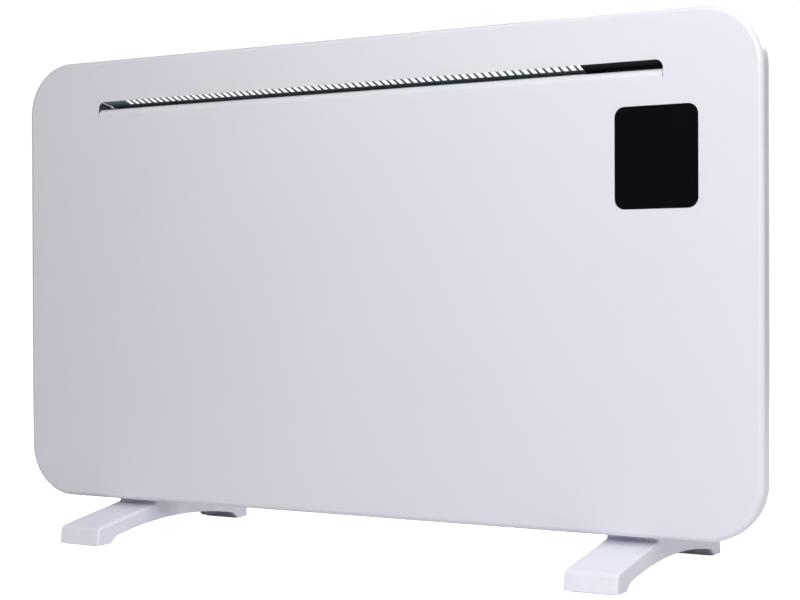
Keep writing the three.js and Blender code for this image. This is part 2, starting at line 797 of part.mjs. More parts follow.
function switchRocker() {
  const half = rockerHigh / 2;
  const pinReach = switchCut.deep / 2 - gap - 0.2;
  const profile = outline([
    [-4.5, -half + 1.5, 1],
    [4, -half, 0.8],
    [2.2, 0],
    [4, half, 0.8],
    [-4.5, half - 1.5, 1],
  ]);
  const geometry = extruded(profile, rockerDeep, 1);
  geometry.rotateX(Math.PI / 2).translate(0, rockerDeep / 2, 0);
  const pins = new THREE.CylinderGeometry(rockerPin, rockerPin, 2 * pinReach, 16);
  const tilt = THREE.MathUtils.degToRad(rockerRest);
  const move = (shape) => solid(shape.rotateY(tilt).translate(rockerAxisX, switchY, switchZ));
  return move(geometry).add(move(pins));
}

// ---- Tip-over switch ----
// Its pendulum swings to the front and back, the ways that the heater can fall.
const tiltHigh = 36;
const tiltHalf = 13;
const tiltWall = 1.5;
const tiltDeep = 14;
const tiltX = footX + footWidth / 2 + tiltDeep;
const tiltY = elementY - 2;
const tiltFoot = innerLow + gap;
const tiltPivotZ = tiltFoot + tiltHigh - 7;
const tiltPin = 1.5;
const bobRadius = 5;
const bobArm = 19;

function tiltSwitchBody() {
  const left = tiltX - tiltDeep / 2;
  const right = tiltX + tiltDeep / 2;
  const box = block(left, right, tiltY - tiltHalf, tiltY + tiltHalf, tiltFoot, tiltFoot + tiltHigh);
  const room = block(left + tiltWall, right + 1, tiltY - tiltHalf + tiltWall, tiltY + tiltHalf - tiltWall,
    tiltFoot + tiltWall, tiltFoot + tiltHigh - tiltWall);
  const pivot = bar('x', left + 0.5, right - 1, [tiltY, tiltPivotZ], tiltPin, 12);
  const ears = block(tiltX - 5, tiltX + 5, tiltY - tiltHalf - 6, tiltY + tiltHalf + 6, tiltFoot, tiltFoot + 2);
  return join([box.subtract(room), ears, pivot]);
}

function tiltPendulum() {
  const bob = bar('x', tiltX - 3, tiltX + 3.5, [tiltY, tiltPivotZ - bobArm], bobRadius, 16);
  const arm = block(tiltX - 1, tiltX + 1, tiltY - 1.5, tiltY + 1.5, tiltPivotZ - bobArm, tiltPivotZ - 1);
  const eye = bar('x', tiltX - 2, tiltX + 2, [tiltY, tiltPivotZ], tiltPin + 1.6, 12);
  const bore = bar('x', tiltX - 3, tiltX + 3, [tiltY, tiltPivotZ], tiltPin + gap, 12);
  return join([arm, bob, eye]).subtract(bore);
}

function tiltSwitchCover() {
  const face = tiltX + tiltDeep / 2 + gap;
  const plate = rectangle(tiltY - tiltHalf, tiltY + tiltHalf, tiltFoot, tiltFoot + tiltHigh, 1.5);
  return sideSlab(plate, face, face + tiltWall);
}

// ---- Feet ----
const saddleTop = casingLow - gap;
const footEnd = footLength / 2;
const toeDraft = 2;

// The foot's side outline, drawn in by a wall for the hollow under it.
function footProfile(inset, low) {
  const end = footEnd - inset;
  const half = saddleHalf - inset;
  const drop = (y) => (footShoulder - footToe) * (footEnd - y) / (footEnd - saddleHalf);
  const toe = footToe - inset;
  const shoulder = footToe + drop(half + 2) - inset;
  const round = Math.max(footCorner - inset, 0.5);
  return outline([
    [-end, padStep],
    [-end, low],
    [end, low],
    [end, padStep],
    [end - toeDraft, toe, round],
    [half + 2, shoulder, 3],
    [half, saddleTop - inset, round],
    [-half, saddleTop - inset, round],
    [-half - 2, shoulder, 3],
    [-end + toeDraft, toe, round],
  ]);
}

function footArch() {
  const inner = footEnd - footPad;
  const spring = 7.2; // height where the toe's slanted back meets the arch
  const reach = inner - 8.5;
  const rise = archRise - spring;
  const radius = (reach * reach + rise * rise) / (2 * rise);
  const half = Math.asin(reach / radius);
  const shape = new THREE.Shape();
  shape.moveTo(-inner - 1, -footRound);
  shape.lineTo(inner + 1, -footRound);
  shape.lineTo(inner, padStep);
  shape.lineTo(reach, spring);
  shape.absarc(0, archRise - radius, radius, Math.PI / 2 - half, Math.PI / 2 + half, false);
  shape.lineTo(-inner, padStep);
  return shape;
}

function foot(x) {
  const left = x - footWidth / 2;
  const right = x + footWidth / 2;
  const inLeft = left + footWall;
  const inRight = right - footWall;
  const outside = sideSlab(footProfile(0, -3 * footRound), left, right, 2, footRound, 2);
  const hollow = sideSlab(footProfile(footWall, -3 * footRound - 1), inLeft, inRight, 1);
  const belowPads = block(left - 1, right + 1, -footLength, footLength, -20, padStep);
  const arch = sideSlab(footArch(), left - 1, right + 1, 4);
  const shelf = padThick + gap;
  const pockets = [-1, 1].flatMap((side) => {
    const ends = (a, b) => [Math.min(side * a, side * b), Math.max(side * a, side * b)];
    const [ribFront, ribBack] = ends(footEnd - footPad, footEnd - footPad + 2);
    const [front, back] = ends(footEnd - footPad, footEnd - 2.5);
    return [
      block(inLeft - 1, inRight + 1, ribFront, ribBack, padStep, shelf + 2),
      block(inLeft - 1, inRight + 1, front, back, shelf, shelf + 2),
    ];
  });
  const bosses = [-footScrewY, footScrewY].map((y) => bar('z', footShoulder - 8, saddleTop - 1, [x, y], 6, 16));
  const web = block(x - 1, x + 1, -footScrewY, footScrewY, footShoulder - 4, saddleTop - 1);
  const shell = cut(outside, [hollow, belowPads]);
  return cut(join([shell, ...pockets, ...bosses, web]), [arch, ...footScrewHoles(0, saddleTop + 1)]);
}

function footPadBody(x, side) {
  const inner = footEnd - footPad + 2 + gap;
  const outer = footEnd - footWall - toeDraft * padThick / (footToe - footWall) - gap;
  const middle = side * (inner + outer) / 2;
  const halfY = (outer - inner) / 2;
  const halfX = footWidth / 2 - footWall - gap;
  return planSlab(rectangle(x - halfX, x + halfX, middle - halfY, middle + halfY, 3), 0, padThick);
}

function footScrewBody(x, y) {
  const seat = footShoulder - 8 - gap;
  const top = seat - footScrew.headHigh;
  const head = bar('z', top, seat, [x, y], footScrew.head * 0.75, 10, footScrew.head);
  const shank = bar('z', seat - 0.5, innerLow + 8, [x, y], footScrew.radius, 12);
  return head.add(shank);
}

// A channel inside the casing that takes the foot's screws.
function footSeat(x) {
  const low = innerLow + gap;
  const half = footWidth / 2 - 3;
  const reach = saddleHalf - 4;
  const channel = frontSlab(outline([
    [x - half, low],
    [x + half, low],
    [x + half, low + seatHigh],
    [x + half - 1.5, low + seatHigh],
    [x + half - 1.5, low + 1.5],
    [x - half + 1.5, low + 1.5],
    [x - half + 1.5, low + seatHigh],
    [x - half, low + seatHigh],
  ]), -reach, Math.min(reach, innerRear - 4));
  const bosses = [-footScrewY, footScrewY].map((y) => bar('z', low + 1, low + 5, [x, y], 5, 6));
  return cut(join([channel, ...bosses]), footScrewHoles(low - 1, low + 6));
}

// ---- Finishes ----
const paint = (color, roughness, metalness = 0) =>
  new THREE.MeshStandardMaterial({ color, roughness, metalness });
const finish = {
  whiteSteel: paint(0xe4e5ec, 0.3),
  casingSteel: paint(0xdfe0e6, 0.45),
  slateSteel: paint(0x4a525a, 0.5, 0.3),
  zincSteel: paint(0xaeb4b8, 0.4, 0.8),
  aluminium: paint(0xc9ccd0, 0.35, 0.9),
  ceramic: paint(0xefe9dc, 0.6),
  blackGlass: paint(0x0a0c10, 0.06),
  blackPlastic: paint(0x121316, 0.5),
  whitePlastic: paint(0xe9eaf1, 0.4),
  rubber: paint(0x232325, 0.85),
  circuitBoard: paint(0x1d5a38, 0.5),
  redPlastic: paint(0xb02020, 0.4),
};

// ---- Assembly ----
const heater = new THREE.Group();

function place(name, body, material) {
  const mesh = new THREE.Mesh(geometryOf(body), material);
  mesh.name = name;
  heater.add(mesh);
}

place('front_panel', frontPanel(), finish.whiteSteel);
place('rear_casing', rearCasing(), finish.casingSteel);
place('outlet_grille', outletGrille(), finish.slateSteel);

place('heat_shield', heatShield(), finish.zincSteel);
place('duct_wall_left', ductWallLeft(), finish.zincSteel);
place('duct_wall_right', ductWallRight(), finish.zincSteel);
place('element_bracket', elementBracket(), finish.zincSteel);

const secondStart = bracketX + bracketHalf + bushLong + gap;
place('heating_element_left', heatingElement(elementStart), finish.aluminium);
place('heating_element_right', heatingElement(secondStart), finish.aluminium);
place('insulator_left_outer', insulator(elementStart - gap, -1), finish.ceramic);
place('insulator_left_inner', insulator(elementEnd + gap, 1), finish.ceramic);
place('insulator_right_inner', insulator(secondStart - gap, -1), finish.ceramic);
place('insulator_right_outer', insulator(secondStart + elementLong + gap, 1), finish.ceramic);

place('display_glass', displayGlass(), finish.blackGlass);
place('display_frame', displayFrame(), finish.blackPlastic);
place('display_board', displayBoard(), finish.circuitBoard);
place('control_housing', controlHousing(), finish.blackPlastic);
place('control_housing_cover', housingCover(), finish.blackPlastic);
place('power_board', powerBoard(), finish.circuitBoard);
place('heater_relay', heaterRelay(), finish.blackPlastic);
place('board_transformer', boardTransformer(), finish.zincSteel);
place('board_heat_sink', boardHeatSink(), finish.aluminium);

place('thermal_cutout', thermalCutOut(), finish.ceramic);
place('room_sensor', roomSensor(), finish.whitePlastic);
place('terminal_block', terminalBlock(), finish.whitePlastic);
place('cord_gland', cordGland(), finish.blackPlastic);
place('gland_nut', glandNut(), finish.blackPlastic);
place('switch_body', switchBody(), finish.blackPlastic);
place('switch_rocker', switchRocker(), finish.redPlastic);
place('tilt_switch_body', tiltSwitchBody(), finish.whitePlastic);
place('tilt_switch_cover', tiltSwitchCover(), finish.whitePlastic);
place('tilt_switch_pendulum', tiltPendulum(), finish.zincSteel);

for (const [side, x] of [['left', -footX], ['right', footX]]) {
  place(`foot_${side}`, foot(x), finish.whitePlastic);
  place(`foot_seat_${side}`, footSeat(x), finish.zincSteel);
  for (const [end, way] of [['front', -1], ['rear', 1]]) {
    place(`foot_pad_${side}_${end}`, footPadBody(x, way), finish.rubber);
    place(`foot_screw_${side}_${end}`, footScrewBody(x, way * footScrewY), finish.zincSteel);
  }
}

casingScrewPlaces().forEach((at, i) => {
  place(`casing_screw_${i + 1}`, casingScrewBody(at), finish.zincSteel);
});

export default heater;
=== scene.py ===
# %% [markdown]
# # A slim convector heater on two moulded feet
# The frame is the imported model: every piece of it already has its true size and place in metres,
# with Z up and the heater's front facing -Y. This lesson models the large visible pieces again with
# finer edges, gives every piece its finish, and lights the heater as in the photograph.

# %% Load the frame
import json
import math

import bmesh
import bpy
from mathutils import Matrix, Vector

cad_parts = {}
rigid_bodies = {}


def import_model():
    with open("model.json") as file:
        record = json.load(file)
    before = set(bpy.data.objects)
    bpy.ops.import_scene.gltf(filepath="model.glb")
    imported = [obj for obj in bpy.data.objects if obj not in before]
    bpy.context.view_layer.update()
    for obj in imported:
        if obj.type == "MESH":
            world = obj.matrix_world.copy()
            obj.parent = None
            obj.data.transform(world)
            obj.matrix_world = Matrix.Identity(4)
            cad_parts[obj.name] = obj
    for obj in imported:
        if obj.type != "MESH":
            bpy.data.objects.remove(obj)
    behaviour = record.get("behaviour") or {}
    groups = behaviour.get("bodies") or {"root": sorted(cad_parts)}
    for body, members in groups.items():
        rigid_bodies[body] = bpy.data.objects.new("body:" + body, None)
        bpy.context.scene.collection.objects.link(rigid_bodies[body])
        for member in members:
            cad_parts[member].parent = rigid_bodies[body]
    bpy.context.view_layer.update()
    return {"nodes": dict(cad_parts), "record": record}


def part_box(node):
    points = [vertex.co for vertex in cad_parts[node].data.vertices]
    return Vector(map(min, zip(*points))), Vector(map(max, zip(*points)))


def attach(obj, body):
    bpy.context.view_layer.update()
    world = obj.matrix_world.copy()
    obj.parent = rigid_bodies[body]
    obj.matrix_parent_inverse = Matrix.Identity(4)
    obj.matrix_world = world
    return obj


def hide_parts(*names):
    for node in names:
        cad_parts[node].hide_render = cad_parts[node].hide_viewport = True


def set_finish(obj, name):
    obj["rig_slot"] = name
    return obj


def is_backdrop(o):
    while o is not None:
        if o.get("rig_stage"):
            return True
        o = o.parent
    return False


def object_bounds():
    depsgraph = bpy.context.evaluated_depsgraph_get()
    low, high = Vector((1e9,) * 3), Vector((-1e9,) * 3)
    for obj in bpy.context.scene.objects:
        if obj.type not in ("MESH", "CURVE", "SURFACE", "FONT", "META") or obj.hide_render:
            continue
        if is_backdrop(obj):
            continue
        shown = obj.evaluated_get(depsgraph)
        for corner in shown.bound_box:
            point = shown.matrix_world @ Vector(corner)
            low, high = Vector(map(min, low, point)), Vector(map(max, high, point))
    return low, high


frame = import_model()
nodes = frame["nodes"]

# %% [markdown]
# ## Working in millimetres
# Sheet metal is drawn in millimetres. `mm` turns such numbers into Blender's metres, so a size can
# be read as on a drawing. An operator acts on whatever is selected, so everything is deselected
# before a new piece is started.

# %% Helpers for selecting in edit mode
MM = 0.001
GAP = 0.3  # mm between two pieces that fit together


def mm(*values):
    """Millimetres to a point in metres."""
    return tuple(v * MM for v in values)


def clear_selection():
    if bpy.context.mode != "OBJECT":
        bpy.ops.object.mode_set(mode="OBJECT")
    bpy.ops.object.select_all(action="DESELECT")


def select_where(kind, test):
    """Selects the vertices, edges or faces that pass test(middle in mm, normal or direction)."""
    bpy.ops.mesh.select_mode(type=kind)
    bpy.ops.mesh.select_all(action="DESELECT")
    mesh = bmesh.from_edit_mesh(bpy.context.object.data)
    count = 0
    for item in {"VERT": mesh.verts, "EDGE": mesh.edges, "FACE": mesh.faces}[kind]:
        if kind == "FACE":
            middle, way = item.calc_center_bounds(), item.normal
        elif kind == "EDGE":
            ends = [v.co for v in item.verts]
            middle, way = (ends[0] + ends[1]) / 2, (ends[1] - ends[0]).normalized()
        else:
            middle, way = item.co, item.normal
        if test(middle / MM, way):
            item.select_set(True)
            count += 1
    mesh.select_flush_mode()
    bmesh.update_edit_mesh(bpy.context.object.data)
    return count


def near(a, b, within=0.02):
    return abs(a - b) < within


clear_selection()
print("one millimetre is", mm(1))


# %% Helpers that shape what is selected
def bevel(radius, segments, affect="EDGES", **others):
    """Rounds the selected edges or vertices. Sizes here and below are in mm."""
    bpy.ops.mesh.bevel(offset=radius * MM, segments=segments, affect=affect, **others)


def extrude_faces(x, y, z):
    bpy.ops.mesh.extrude_region_move(TRANSFORM_OT_translate={"value": mm(x, y, z)})


def extrude_edges(x, y, z):
    bpy.ops.mesh.extrude_edges_move(TRANSFORM_OT_translate={"value": mm(x, y, z)})


def move_selected(x, y, z):
    bpy.ops.transform.translate(value=mm(x, y, z))


def cut_across(point, normal, **others):
    """Cuts the whole mesh along the plane through point."""
    bpy.ops.mesh.select_all(action="SELECT")
    bpy.ops.mesh.bisect(plane_co=mm(*point), plane_no=normal, **others)


print("pieces fit with a gap of", GAP, "mm")

# %% [markdown]
# ## Starting and finishing a piece
# A piece starts as a primitive at its own size and place. It ends as one closed mesh whose object
# sits at the origin, with smooth shading that stops at real corners. Weighted normals keep the wide
# flat faces flat beside a small fold.

# %% Helpers that start and finish a piece
SMOOTH_BELOW = 32  # degrees between two faces; a sharper edge stays a corner


def start_panel(name, left, right, low, high, y):
    """An upright rectangle that faces the front, in edit mode. Sizes are in mm."""
    clear_selection()
    bpy.ops.mesh.primitive_plane_add(
        size=1, location=mm((left + right) / 2, y, (low + high) / 2), rotation=(math.radians(90), 0, 0)
    )
    piece = bpy.context.object
    piece.name = name
    piece.scale = (*mm(right - left, high - low), 1)
    bpy.ops.object.transform_apply(location=True, rotation=True, scale=True)
    bpy.ops.object.mode_set(mode="EDIT")
    return piece


def start_block(name, low, high):
    """A box between two corners in mm, in edit mode."""
    clear_selection()
    low, high = Vector(low), Vector(high)
    bpy.ops.mesh.primitive_cube_add(size=1, location=(low + high) / 2 * MM)
    piece = bpy.context.object
    piece.name = name
    piece.scale = (high - low) * MM
    bpy.ops.object.transform_apply(location=True, rotation=True, scale=True)
    bpy.ops.object.mode_set(mode="EDIT")
    return piece


def make_active(piece):
    clear_selection()
    piece.select_set(True)
    bpy.context.view_layer.objects.active = piece


def apply_modifier(piece, kind, **settings):
    make_active(piece)
    modifier = piece.modifiers.new(kind.title(), kind)
    for key, value in settings.items():
        setattr(modifier, key, value)
    bpy.ops.object.modifier_apply(modifier=modifier.name)


def cut_with(piece, *cutters):
    """Subtracts each cutter from the piece and removes it."""
    for cutter in cutters:
        apply_modifier(piece, "BOOLEAN", object=cutter, operation="DIFFERENCE", solver="EXACT")
        bpy.data.objects.remove(cutter)


def closed(piece):
    """Turns the faces outwards, so that the enclosed volume is positive, and leaves edit mode."""
    bpy.ops.mesh.select_all(action="SELECT")
    bpy.ops.mesh.normals_make_consistent(inside=False)
    if bmesh.from_edit_mesh(piece.data).calc_volume(signed=True) < 0:
        bpy.ops.mesh.flip_normals()
    bpy.ops.object.mode_set(mode="OBJECT")
    return piece


def finish_piece(piece, slot, *stands_for, body="heater"):
    """Closes and shades a piece, and gives its finish, the CAD nodes it replaces and its body."""
    make_active(piece)
    bpy.ops.object.mode_set(mode="EDIT")
    bpy.ops.mesh.select_all(action="SELECT")
    bpy.ops.mesh.remove_doubles(threshold=1e-6)
    closed(piece)
    bpy.ops.object.shade_smooth_by_angle(angle=math.radians(SMOOTH_BELOW))
    apply_modifier(piece, "WEIGHTED_NORMAL", keep_sharp=True, weight=60)
    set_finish(piece, slot)
    if stands_for:
        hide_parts(*stands_for)
    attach(piece, body)
    clear_selection()
    print(piece.name, "faces", len(piece.data.polygons))


print("edges are smooth below", SMOOTH_BELOW, "degrees")

# %% [markdown]
# ## Front panel
# On the real heater this is one pressed sheet of 1 mm steel: flat, with round corners, a soft fold
# all round, a rim turned in behind, and a long slot whose lower edge is rolled inwards. A plane
# with beveled corners gives the outline. Its border is extruded back for the side, and the bend is
# a bevel between the two. The roll is a quarter turn of the slot's lower edge with Spin, so that
# panel and lip stay one sheet, and Solidify then gives the sheet its thickness.

# %% Outline, side and rear rim of the panel
panel_box = [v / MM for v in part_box("front_panel")]
panel_front, panel_rear = panel_box[0].y, panel_box[1].y
panel_side, panel_bottom, panel_top = panel_box[1].x, panel_box[0].z, panel_box[1].z
panel_corner, panel_fold, rim_fold, rim_wide = 50, 4.5, 1.4, 16.6
sheet = 1  # mm of steel
flat_margin = 2  # a narrow ring that keeps the shading of the fold off the flat front

panel = start_panel("panel_shell", -panel_side, panel_side, panel_bottom, panel_top, panel_front)
bevel(panel_corner, 28, "VERTICES")
bpy.ops.mesh.select_mode(type="EDGE")
bpy.ops.mesh.select_all(action="SELECT")
extrude_edges(0, panel_rear - panel_front, 0)
bpy.ops.mesh.edge_face_add()
select_where("EDGE", lambda at, way: near(at.y, panel_rear))
bevel(rim_fold, 3)
select_where("FACE", lambda at, way: near(at.y, panel_rear) and near(abs(way.y), 1))
bpy.ops.mesh.inset(thickness=rim_wide * MM)
bpy.ops.mesh.delete(type="FACE")
select_where("EDGE", lambda at, way: near(at.y, panel_front))
bevel(panel_fold, 9, clamp_overlap=False)
select_where("FACE", lambda at, way: near(at.y, panel_front) and near(abs(way.y), 1))
bpy.ops.mesh.inset(thickness=flat_margin * MM)
print("panel sheet", len(panel.data.vertices))

# %% Slot with its rolled lower lip
slot_left, slot_right = -290.9, 297.1
slot_top, lip_start = 425.4, 411.2
lip_radius, lip_relief, lip_tail = 7.2, 0.8, 4
sheet_hole_top = lip_start + 5  # of the first hole, which a cutter later makes higher
under_ring = 450  # between the face that is cut and the narrow ring above it


def bisect_face(inside, point, normal):
    """Cuts the front face that inside(middle in mm) picks, along a plane through point (mm)."""
    select_where("FACE", lambda at, way: near(at.y, panel_front) and near(abs(way.y), 1) and inside(at))
    bpy.ops.mesh.bisect(plane_co=mm(*point), plane_no=normal)


middle_of_slot = (slot_left + slot_right) / 2
panel_middle = (panel_bottom + panel_top) / 2


def above_lip(at):
    return lip_start < at.z < under_ring


def in_hole(at):
    return lip_start < at.z < sheet_hole_top


# each cut moves the middle of the face that is left: first to the right of x=0, then to the middle of
# the slot
bisect_face(lambda at: near(at.x, 0) and near(at.z, panel_middle), (0, 0, lip_start), (0, 0, 1))
bisect_face(lambda at: near(at.x, 0) and above_lip(at), (slot_left, 0, 0), (1, 0, 0))
bisect_face(lambda at: 30 < at.x < 50 and above_lip(at), (slot_right, 0, 0), (1, 0, 0))
bisect_face(lambda at: near(at.x, middle_of_slot) and above_lip(at), (0, 0, sheet_hole_top), (0, 0, 1))
for edge in (slot_left + lip_relief, slot_right - lip_relief):
    bisect_face(lambda at: near(at.x, middle_of_slot, 1) and in_hole(at), (edge, 0, 0), (1, 0, 0))
picked = select_where(
    "FACE", lambda at, way: near(at.y, panel_front) and in_hole(at) and slot_left < at.x < slot_right
)
bpy.ops.mesh.delete(type="FACE")
print("slot faces removed", picked)
picked = select_where(
    "EDGE",
    lambda at, way: near(at.y, panel_front) and near(at.z, lip_start) and near(at.x, middle_of_slot, 1),
)
bpy.ops.mesh.spin(
    steps=12, angle=math.radians(90), center=mm(0, panel_front + lip_radius, lip_start), axis=(1, 0, 0)
)
lip_top, lip_back = lip_start + lip_radius, panel_front + lip_radius
select_where("EDGE", lambda at, way: near(at.z, lip_top) and near(at.y, lip_back) and near(abs(way.x), 1))
extrude_edges(0, lip_tail, 0)
bpy.ops.mesh.select_all(action="SELECT")
bpy.ops.mesh.normals_make_consistent(inside=False)
print("lip edges", picked)

# %% Thickness, and the openings cut through it
window_depth = 1.6  # from the front of the panel, through its sheet


def window_cutter(name, left, right, low, high, radius, corners):
    """A prism through the panel, with the corners (a test on x and z) rounded."""
    cutter = start_panel(name, left, right, low, high, panel_front - 1)
    select_where("VERT", lambda at, way: corners(at))
    bevel(radius, 14, "VERTICES")
    bpy.ops.mesh.select_mode(type="FACE")
    bpy.ops.mesh.select_all(action="SELECT")
    extrude_faces(0, 1 + window_depth, 0)
    bpy.ops.mesh.select_all(action="SELECT")
    bpy.ops.mesh.normals_make_consistent(inside=False)
    bpy.ops.object.mode_set(mode="OBJECT")
    return cutter


bpy.ops.object.mode_set(mode="OBJECT")
apply_modifier(panel, "SOLIDIFY", thickness=sheet * MM, offset=-1, use_even_offset=True)
glass_low, glass_high = (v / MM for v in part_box("display_glass"))
slot_corner, glass_corner = 7, 8.5
slot_cutter = window_cutter(
    "slot_cutter", slot_left, slot_right, sheet_hole_top - 0.5, slot_top, slot_corner,
    lambda at: at.z > sheet_hole_top,
)
glass_cutter = window_cutter(
    "glass_cutter", glass_low.x - GAP, glass_high.x + GAP, glass_low.z - GAP, glass_high.z + GAP,
    glass_corner + GAP, lambda at: True,
)
cut_with(panel, slot_cutter, glass_cutter)
finish_piece(panel, "white_steel", "front_panel")

# %% [markdown]
# ## Display glass
# The display is a 2 mm plate of black backed glass that lies flush in its window. Real glass is
# ground along its border, because a sharp edge chips, and that thin ground edge catches the light.
# So the block's corners are rounded first, and its front border then gets a bevel of half a
# millimetre.

# %% Helpers for closed blocks
def rounded_block(name, low, high, along, radius, segments=8):
    """A block between two corners in mm, its edges along X, Y or Z (0, 1 or 2) rounded, in edit mode."""
    block = start_block(name, low, high)
    select_where("EDGE", lambda at, way: near(abs(way[along]), 1))
    bevel(radius, segments)
    return block


print("display glass", [round(v, 1) for v in (*glass_low, *glass_high)])


# %% Ground edge of the glass
glass = rounded_block("display_cover", glass_low, glass_high, 1, glass_corner, 14)
select_where("EDGE", lambda at, way: near(at.y, glass_low.y))
bevel(0.5, 3)
finish_piece(closed(glass), "black_glass", "display_glass")

# %% [markdown]
# ## Feet
# Each foot is one hollow moulding of white plastic: a low toe at both ends, a slope up to a saddle
# that carries the casing, and a long arch below. A block gives it all: two cuts mark the shoulders,
# the ends are pulled down into slopes, and the middle is extruded up. The hollow is the same form 3
# mm smaller, taken away from below, which leaves the even wall that a moulding needs. The rounding
# is done before that, so it is on the outside only.

# %% Form of a foot
foot_low, foot_high = (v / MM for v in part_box("foot_left"))
foot_middle, foot_half = (foot_low.x + foot_high.x) / 2, (foot_high.x - foot_low.x) / 2
foot_end, toe_top, toe_draft = foot_high.y, 17.2, 2
shoulder_y, shoulder_z, saddle_draft = 33, 31.2, 2
foot_wall = 3


def foot_form(name, inset, bottom):
    """A foot's form drawn in by inset mm, from bottom (mm) up, in edit mode."""
    end, toe, shoulder = foot_end - inset, toe_top - inset, shoulder_z - inset
    side, break_y = foot_half - inset, shoulder_y - inset
    form = start_block(name, (foot_middle - side, -end, bottom), (foot_middle + side, end, shoulder))
    for way in (-1, 1):
        cut_across((0, way * break_y, 0), (0, 1, 0))
    for way in (-1, 1):
        select_where("VERT", lambda at, normal: near(at.y, way * end) and near(at.z, shoulder))
        move_selected(0, -way * toe_draft, toe - shoulder)
    select_where("FACE", lambda at, normal: near(at.y, 0) and near(at.z, shoulder))
    saddle = foot_high.z - inset
    extrude_faces(0, 0, saddle - shoulder)
    for way in (-1, 1):
        select_where("VERT", lambda at, normal: near(at.y, way * break_y) and near(at.z, saddle))
        move_selected(0, -way * saddle_draft, 0)
    select_where("EDGE", lambda at, along: near(abs(at.y), break_y) and at.z < shoulder - 1)
    bpy.ops.mesh.dissolve_edges()
    return form


foot = foot_form("foot_left_moulding", 0, foot_low.z)
ACROSS = [  # edges across the foot: half the distance between a pair, its height, radius and segments
    (foot_end - toe_draft, toe_top, 4.0, 6),
    (shoulder_y - saddle_draft, foot_high.z, 3.0, 5),
]
for y, z, radius, segments in ACROSS:
    select_where("EDGE", lambda at, way: near(abs(at.y), y) and near(at.z, z) and near(abs(way.x), 1))
    bevel(radius, segments)
select_where(
    "EDGE",
    lambda at, way: near(abs(at.x - foot_middle), foot_half)
    and near(way.x, 0)
    and at.z > foot_low.z + 0.1,
)
bevel(2.2, 5)
closed(foot)
cut_with(foot, closed(foot_form("foot_hollow", foot_wall, foot_low.z - 2)))
print("foot shell", len(foot.data.polygons))

# %% Arch, pad pockets and screw bosses
def join_with(piece, *others):
    """Adds each of the others to the piece and removes it."""
    for other in others:
        apply_modifier(piece, "BOOLEAN", object=other, operation="UNION", solver="EXACT")
        bpy.data.objects.remove(other)


def round_bar(name, low_end, length, radius, along, sides=32):
    """A closed bar from low_end (mm) along X, Y or Z (0, 1 or 2)."""
    clear_selection()
    middle = Vector(low_end)
    middle[along] += length / 2
    turn = {0: (0, math.radians(90), 0), 1: (math.radians(90), 0, 0), 2: (0, 0, 0)}[along]
    bpy.ops.mesh.primitive_cylinder_add(
        vertices=sides, radius=radius * MM, depth=length * MM, location=mm(*middle), rotation=turn
    )
    bar = bpy.context.object
    bar.name = name
    bpy.ops.object.transform_apply(location=True, rotation=True, scale=True)
    bpy.ops.object.mode_set(mode="EDIT")
    return closed(bar)


rib_y, rib_thick, shelf_z = 103, 2, 7.3
foot_screw_y, foot_screw_hole = 20, 2.6
boss_low, boss_long, boss_radius = 23.5, 23.4, 6
web_low, web_half = 27.5, 1
inside = foot_half - foot_wall + 1
for way in (-1, 1):
    near_y, far_y = sorted((way * rib_y, way * (rib_y + rib_thick)))
    rib = start_block("rib", (foot_middle - inside, near_y, 1), (foot_middle + inside, far_y, shelf_z))
    near_y, far_y = sorted((way * rib_y, way * (foot_end - 2.5)))
    shelf_low = shelf_z - rib_thick
    join_with(foot, closed(rib))
    shelf = start_block(
        "shelf", (foot_middle - inside, near_y, shelf_low), (foot_middle + inside, far_y, shelf_z)
    )
    join_with(foot, closed(shelf))
    boss = round_bar("boss", (foot_middle, way * foot_screw_y, boss_low), boss_long, boss_radius, 2)
    join_with(foot, boss)
web = start_block(
    "web", (foot_middle - web_half, -foot_screw_y, web_low),
    (foot_middle + web_half, foot_screw_y, boss_low + boss_long),
)
join_with(foot, closed(web))

arch_back, arch_spring, arch_spring_y, arch_top = 103, 7.2, 94.5, 16
lean = (arch_back - arch_spring_y) / (arch_spring - foot_low.z)
low_y, high_y = arch_back + 3 * lean, arch_spring_y - 0.1 * lean
arch = start_block(
    "arch", (foot_low.x - 1, -low_y, foot_low.z - 3), (foot_high.x + 1, low_y, arch_spring + 0.1)
)
for way in (-1, 1):
    select_where("VERT", lambda at, normal: near(at.y, way * low_y) and at.z > arch_spring)
    move_selected(0, -way * (low_y - high_y), 0)
closed(arch)
rise = arch_top - arch_spring
arch_radius = (arch_spring_y**2 + rise**2) / (2 * rise)
cap = round_bar(
    "arch_cap", (foot_low.x - 1, 0, arch_top - arch_radius), 2 * foot_half + 2, arch_radius, 0, sides=720
)
bpy.ops.object.mode_set(mode="EDIT")
cut_across((0, 0, arch_spring), (0, 0, 1), clear_inner=True, use_fill=True)
closed(cap)
cut_with(foot, arch, cap)
for way in (-1, 1):
    low_end = (foot_middle, way * foot_screw_y, 15)
    cut_with(foot, round_bar("screw_hole", low_end, 40, foot_screw_hole, 2, sides=24))
print("foot faces", len(foot.data.polygons), "arch radius", round(arch_radius, 1))

# %% The second foot
def placed(piece, turn=(0, 0, 0), shift=(0, 0, 0)):
    """Turns a piece by degrees and moves it by mm, and applies both to its mesh."""
    make_active(piece)
    piece.rotation_euler = [math.radians(angle) for angle in turn]
    piece.location = mm(*shift)
    bpy.ops.object.transform_apply(location=True, rotation=True, scale=True)
    return piece


def copied(piece, name, turn=(0, 0, 0), shift=(0, 0, 0)):
    """A copy of a piece with its own mesh, turned and moved."""
    make_active(piece)
    bpy.ops.object.duplicate(linked=False)
    copy = bpy.context.object
    copy.name = name
    return placed(copy, turn, shift)


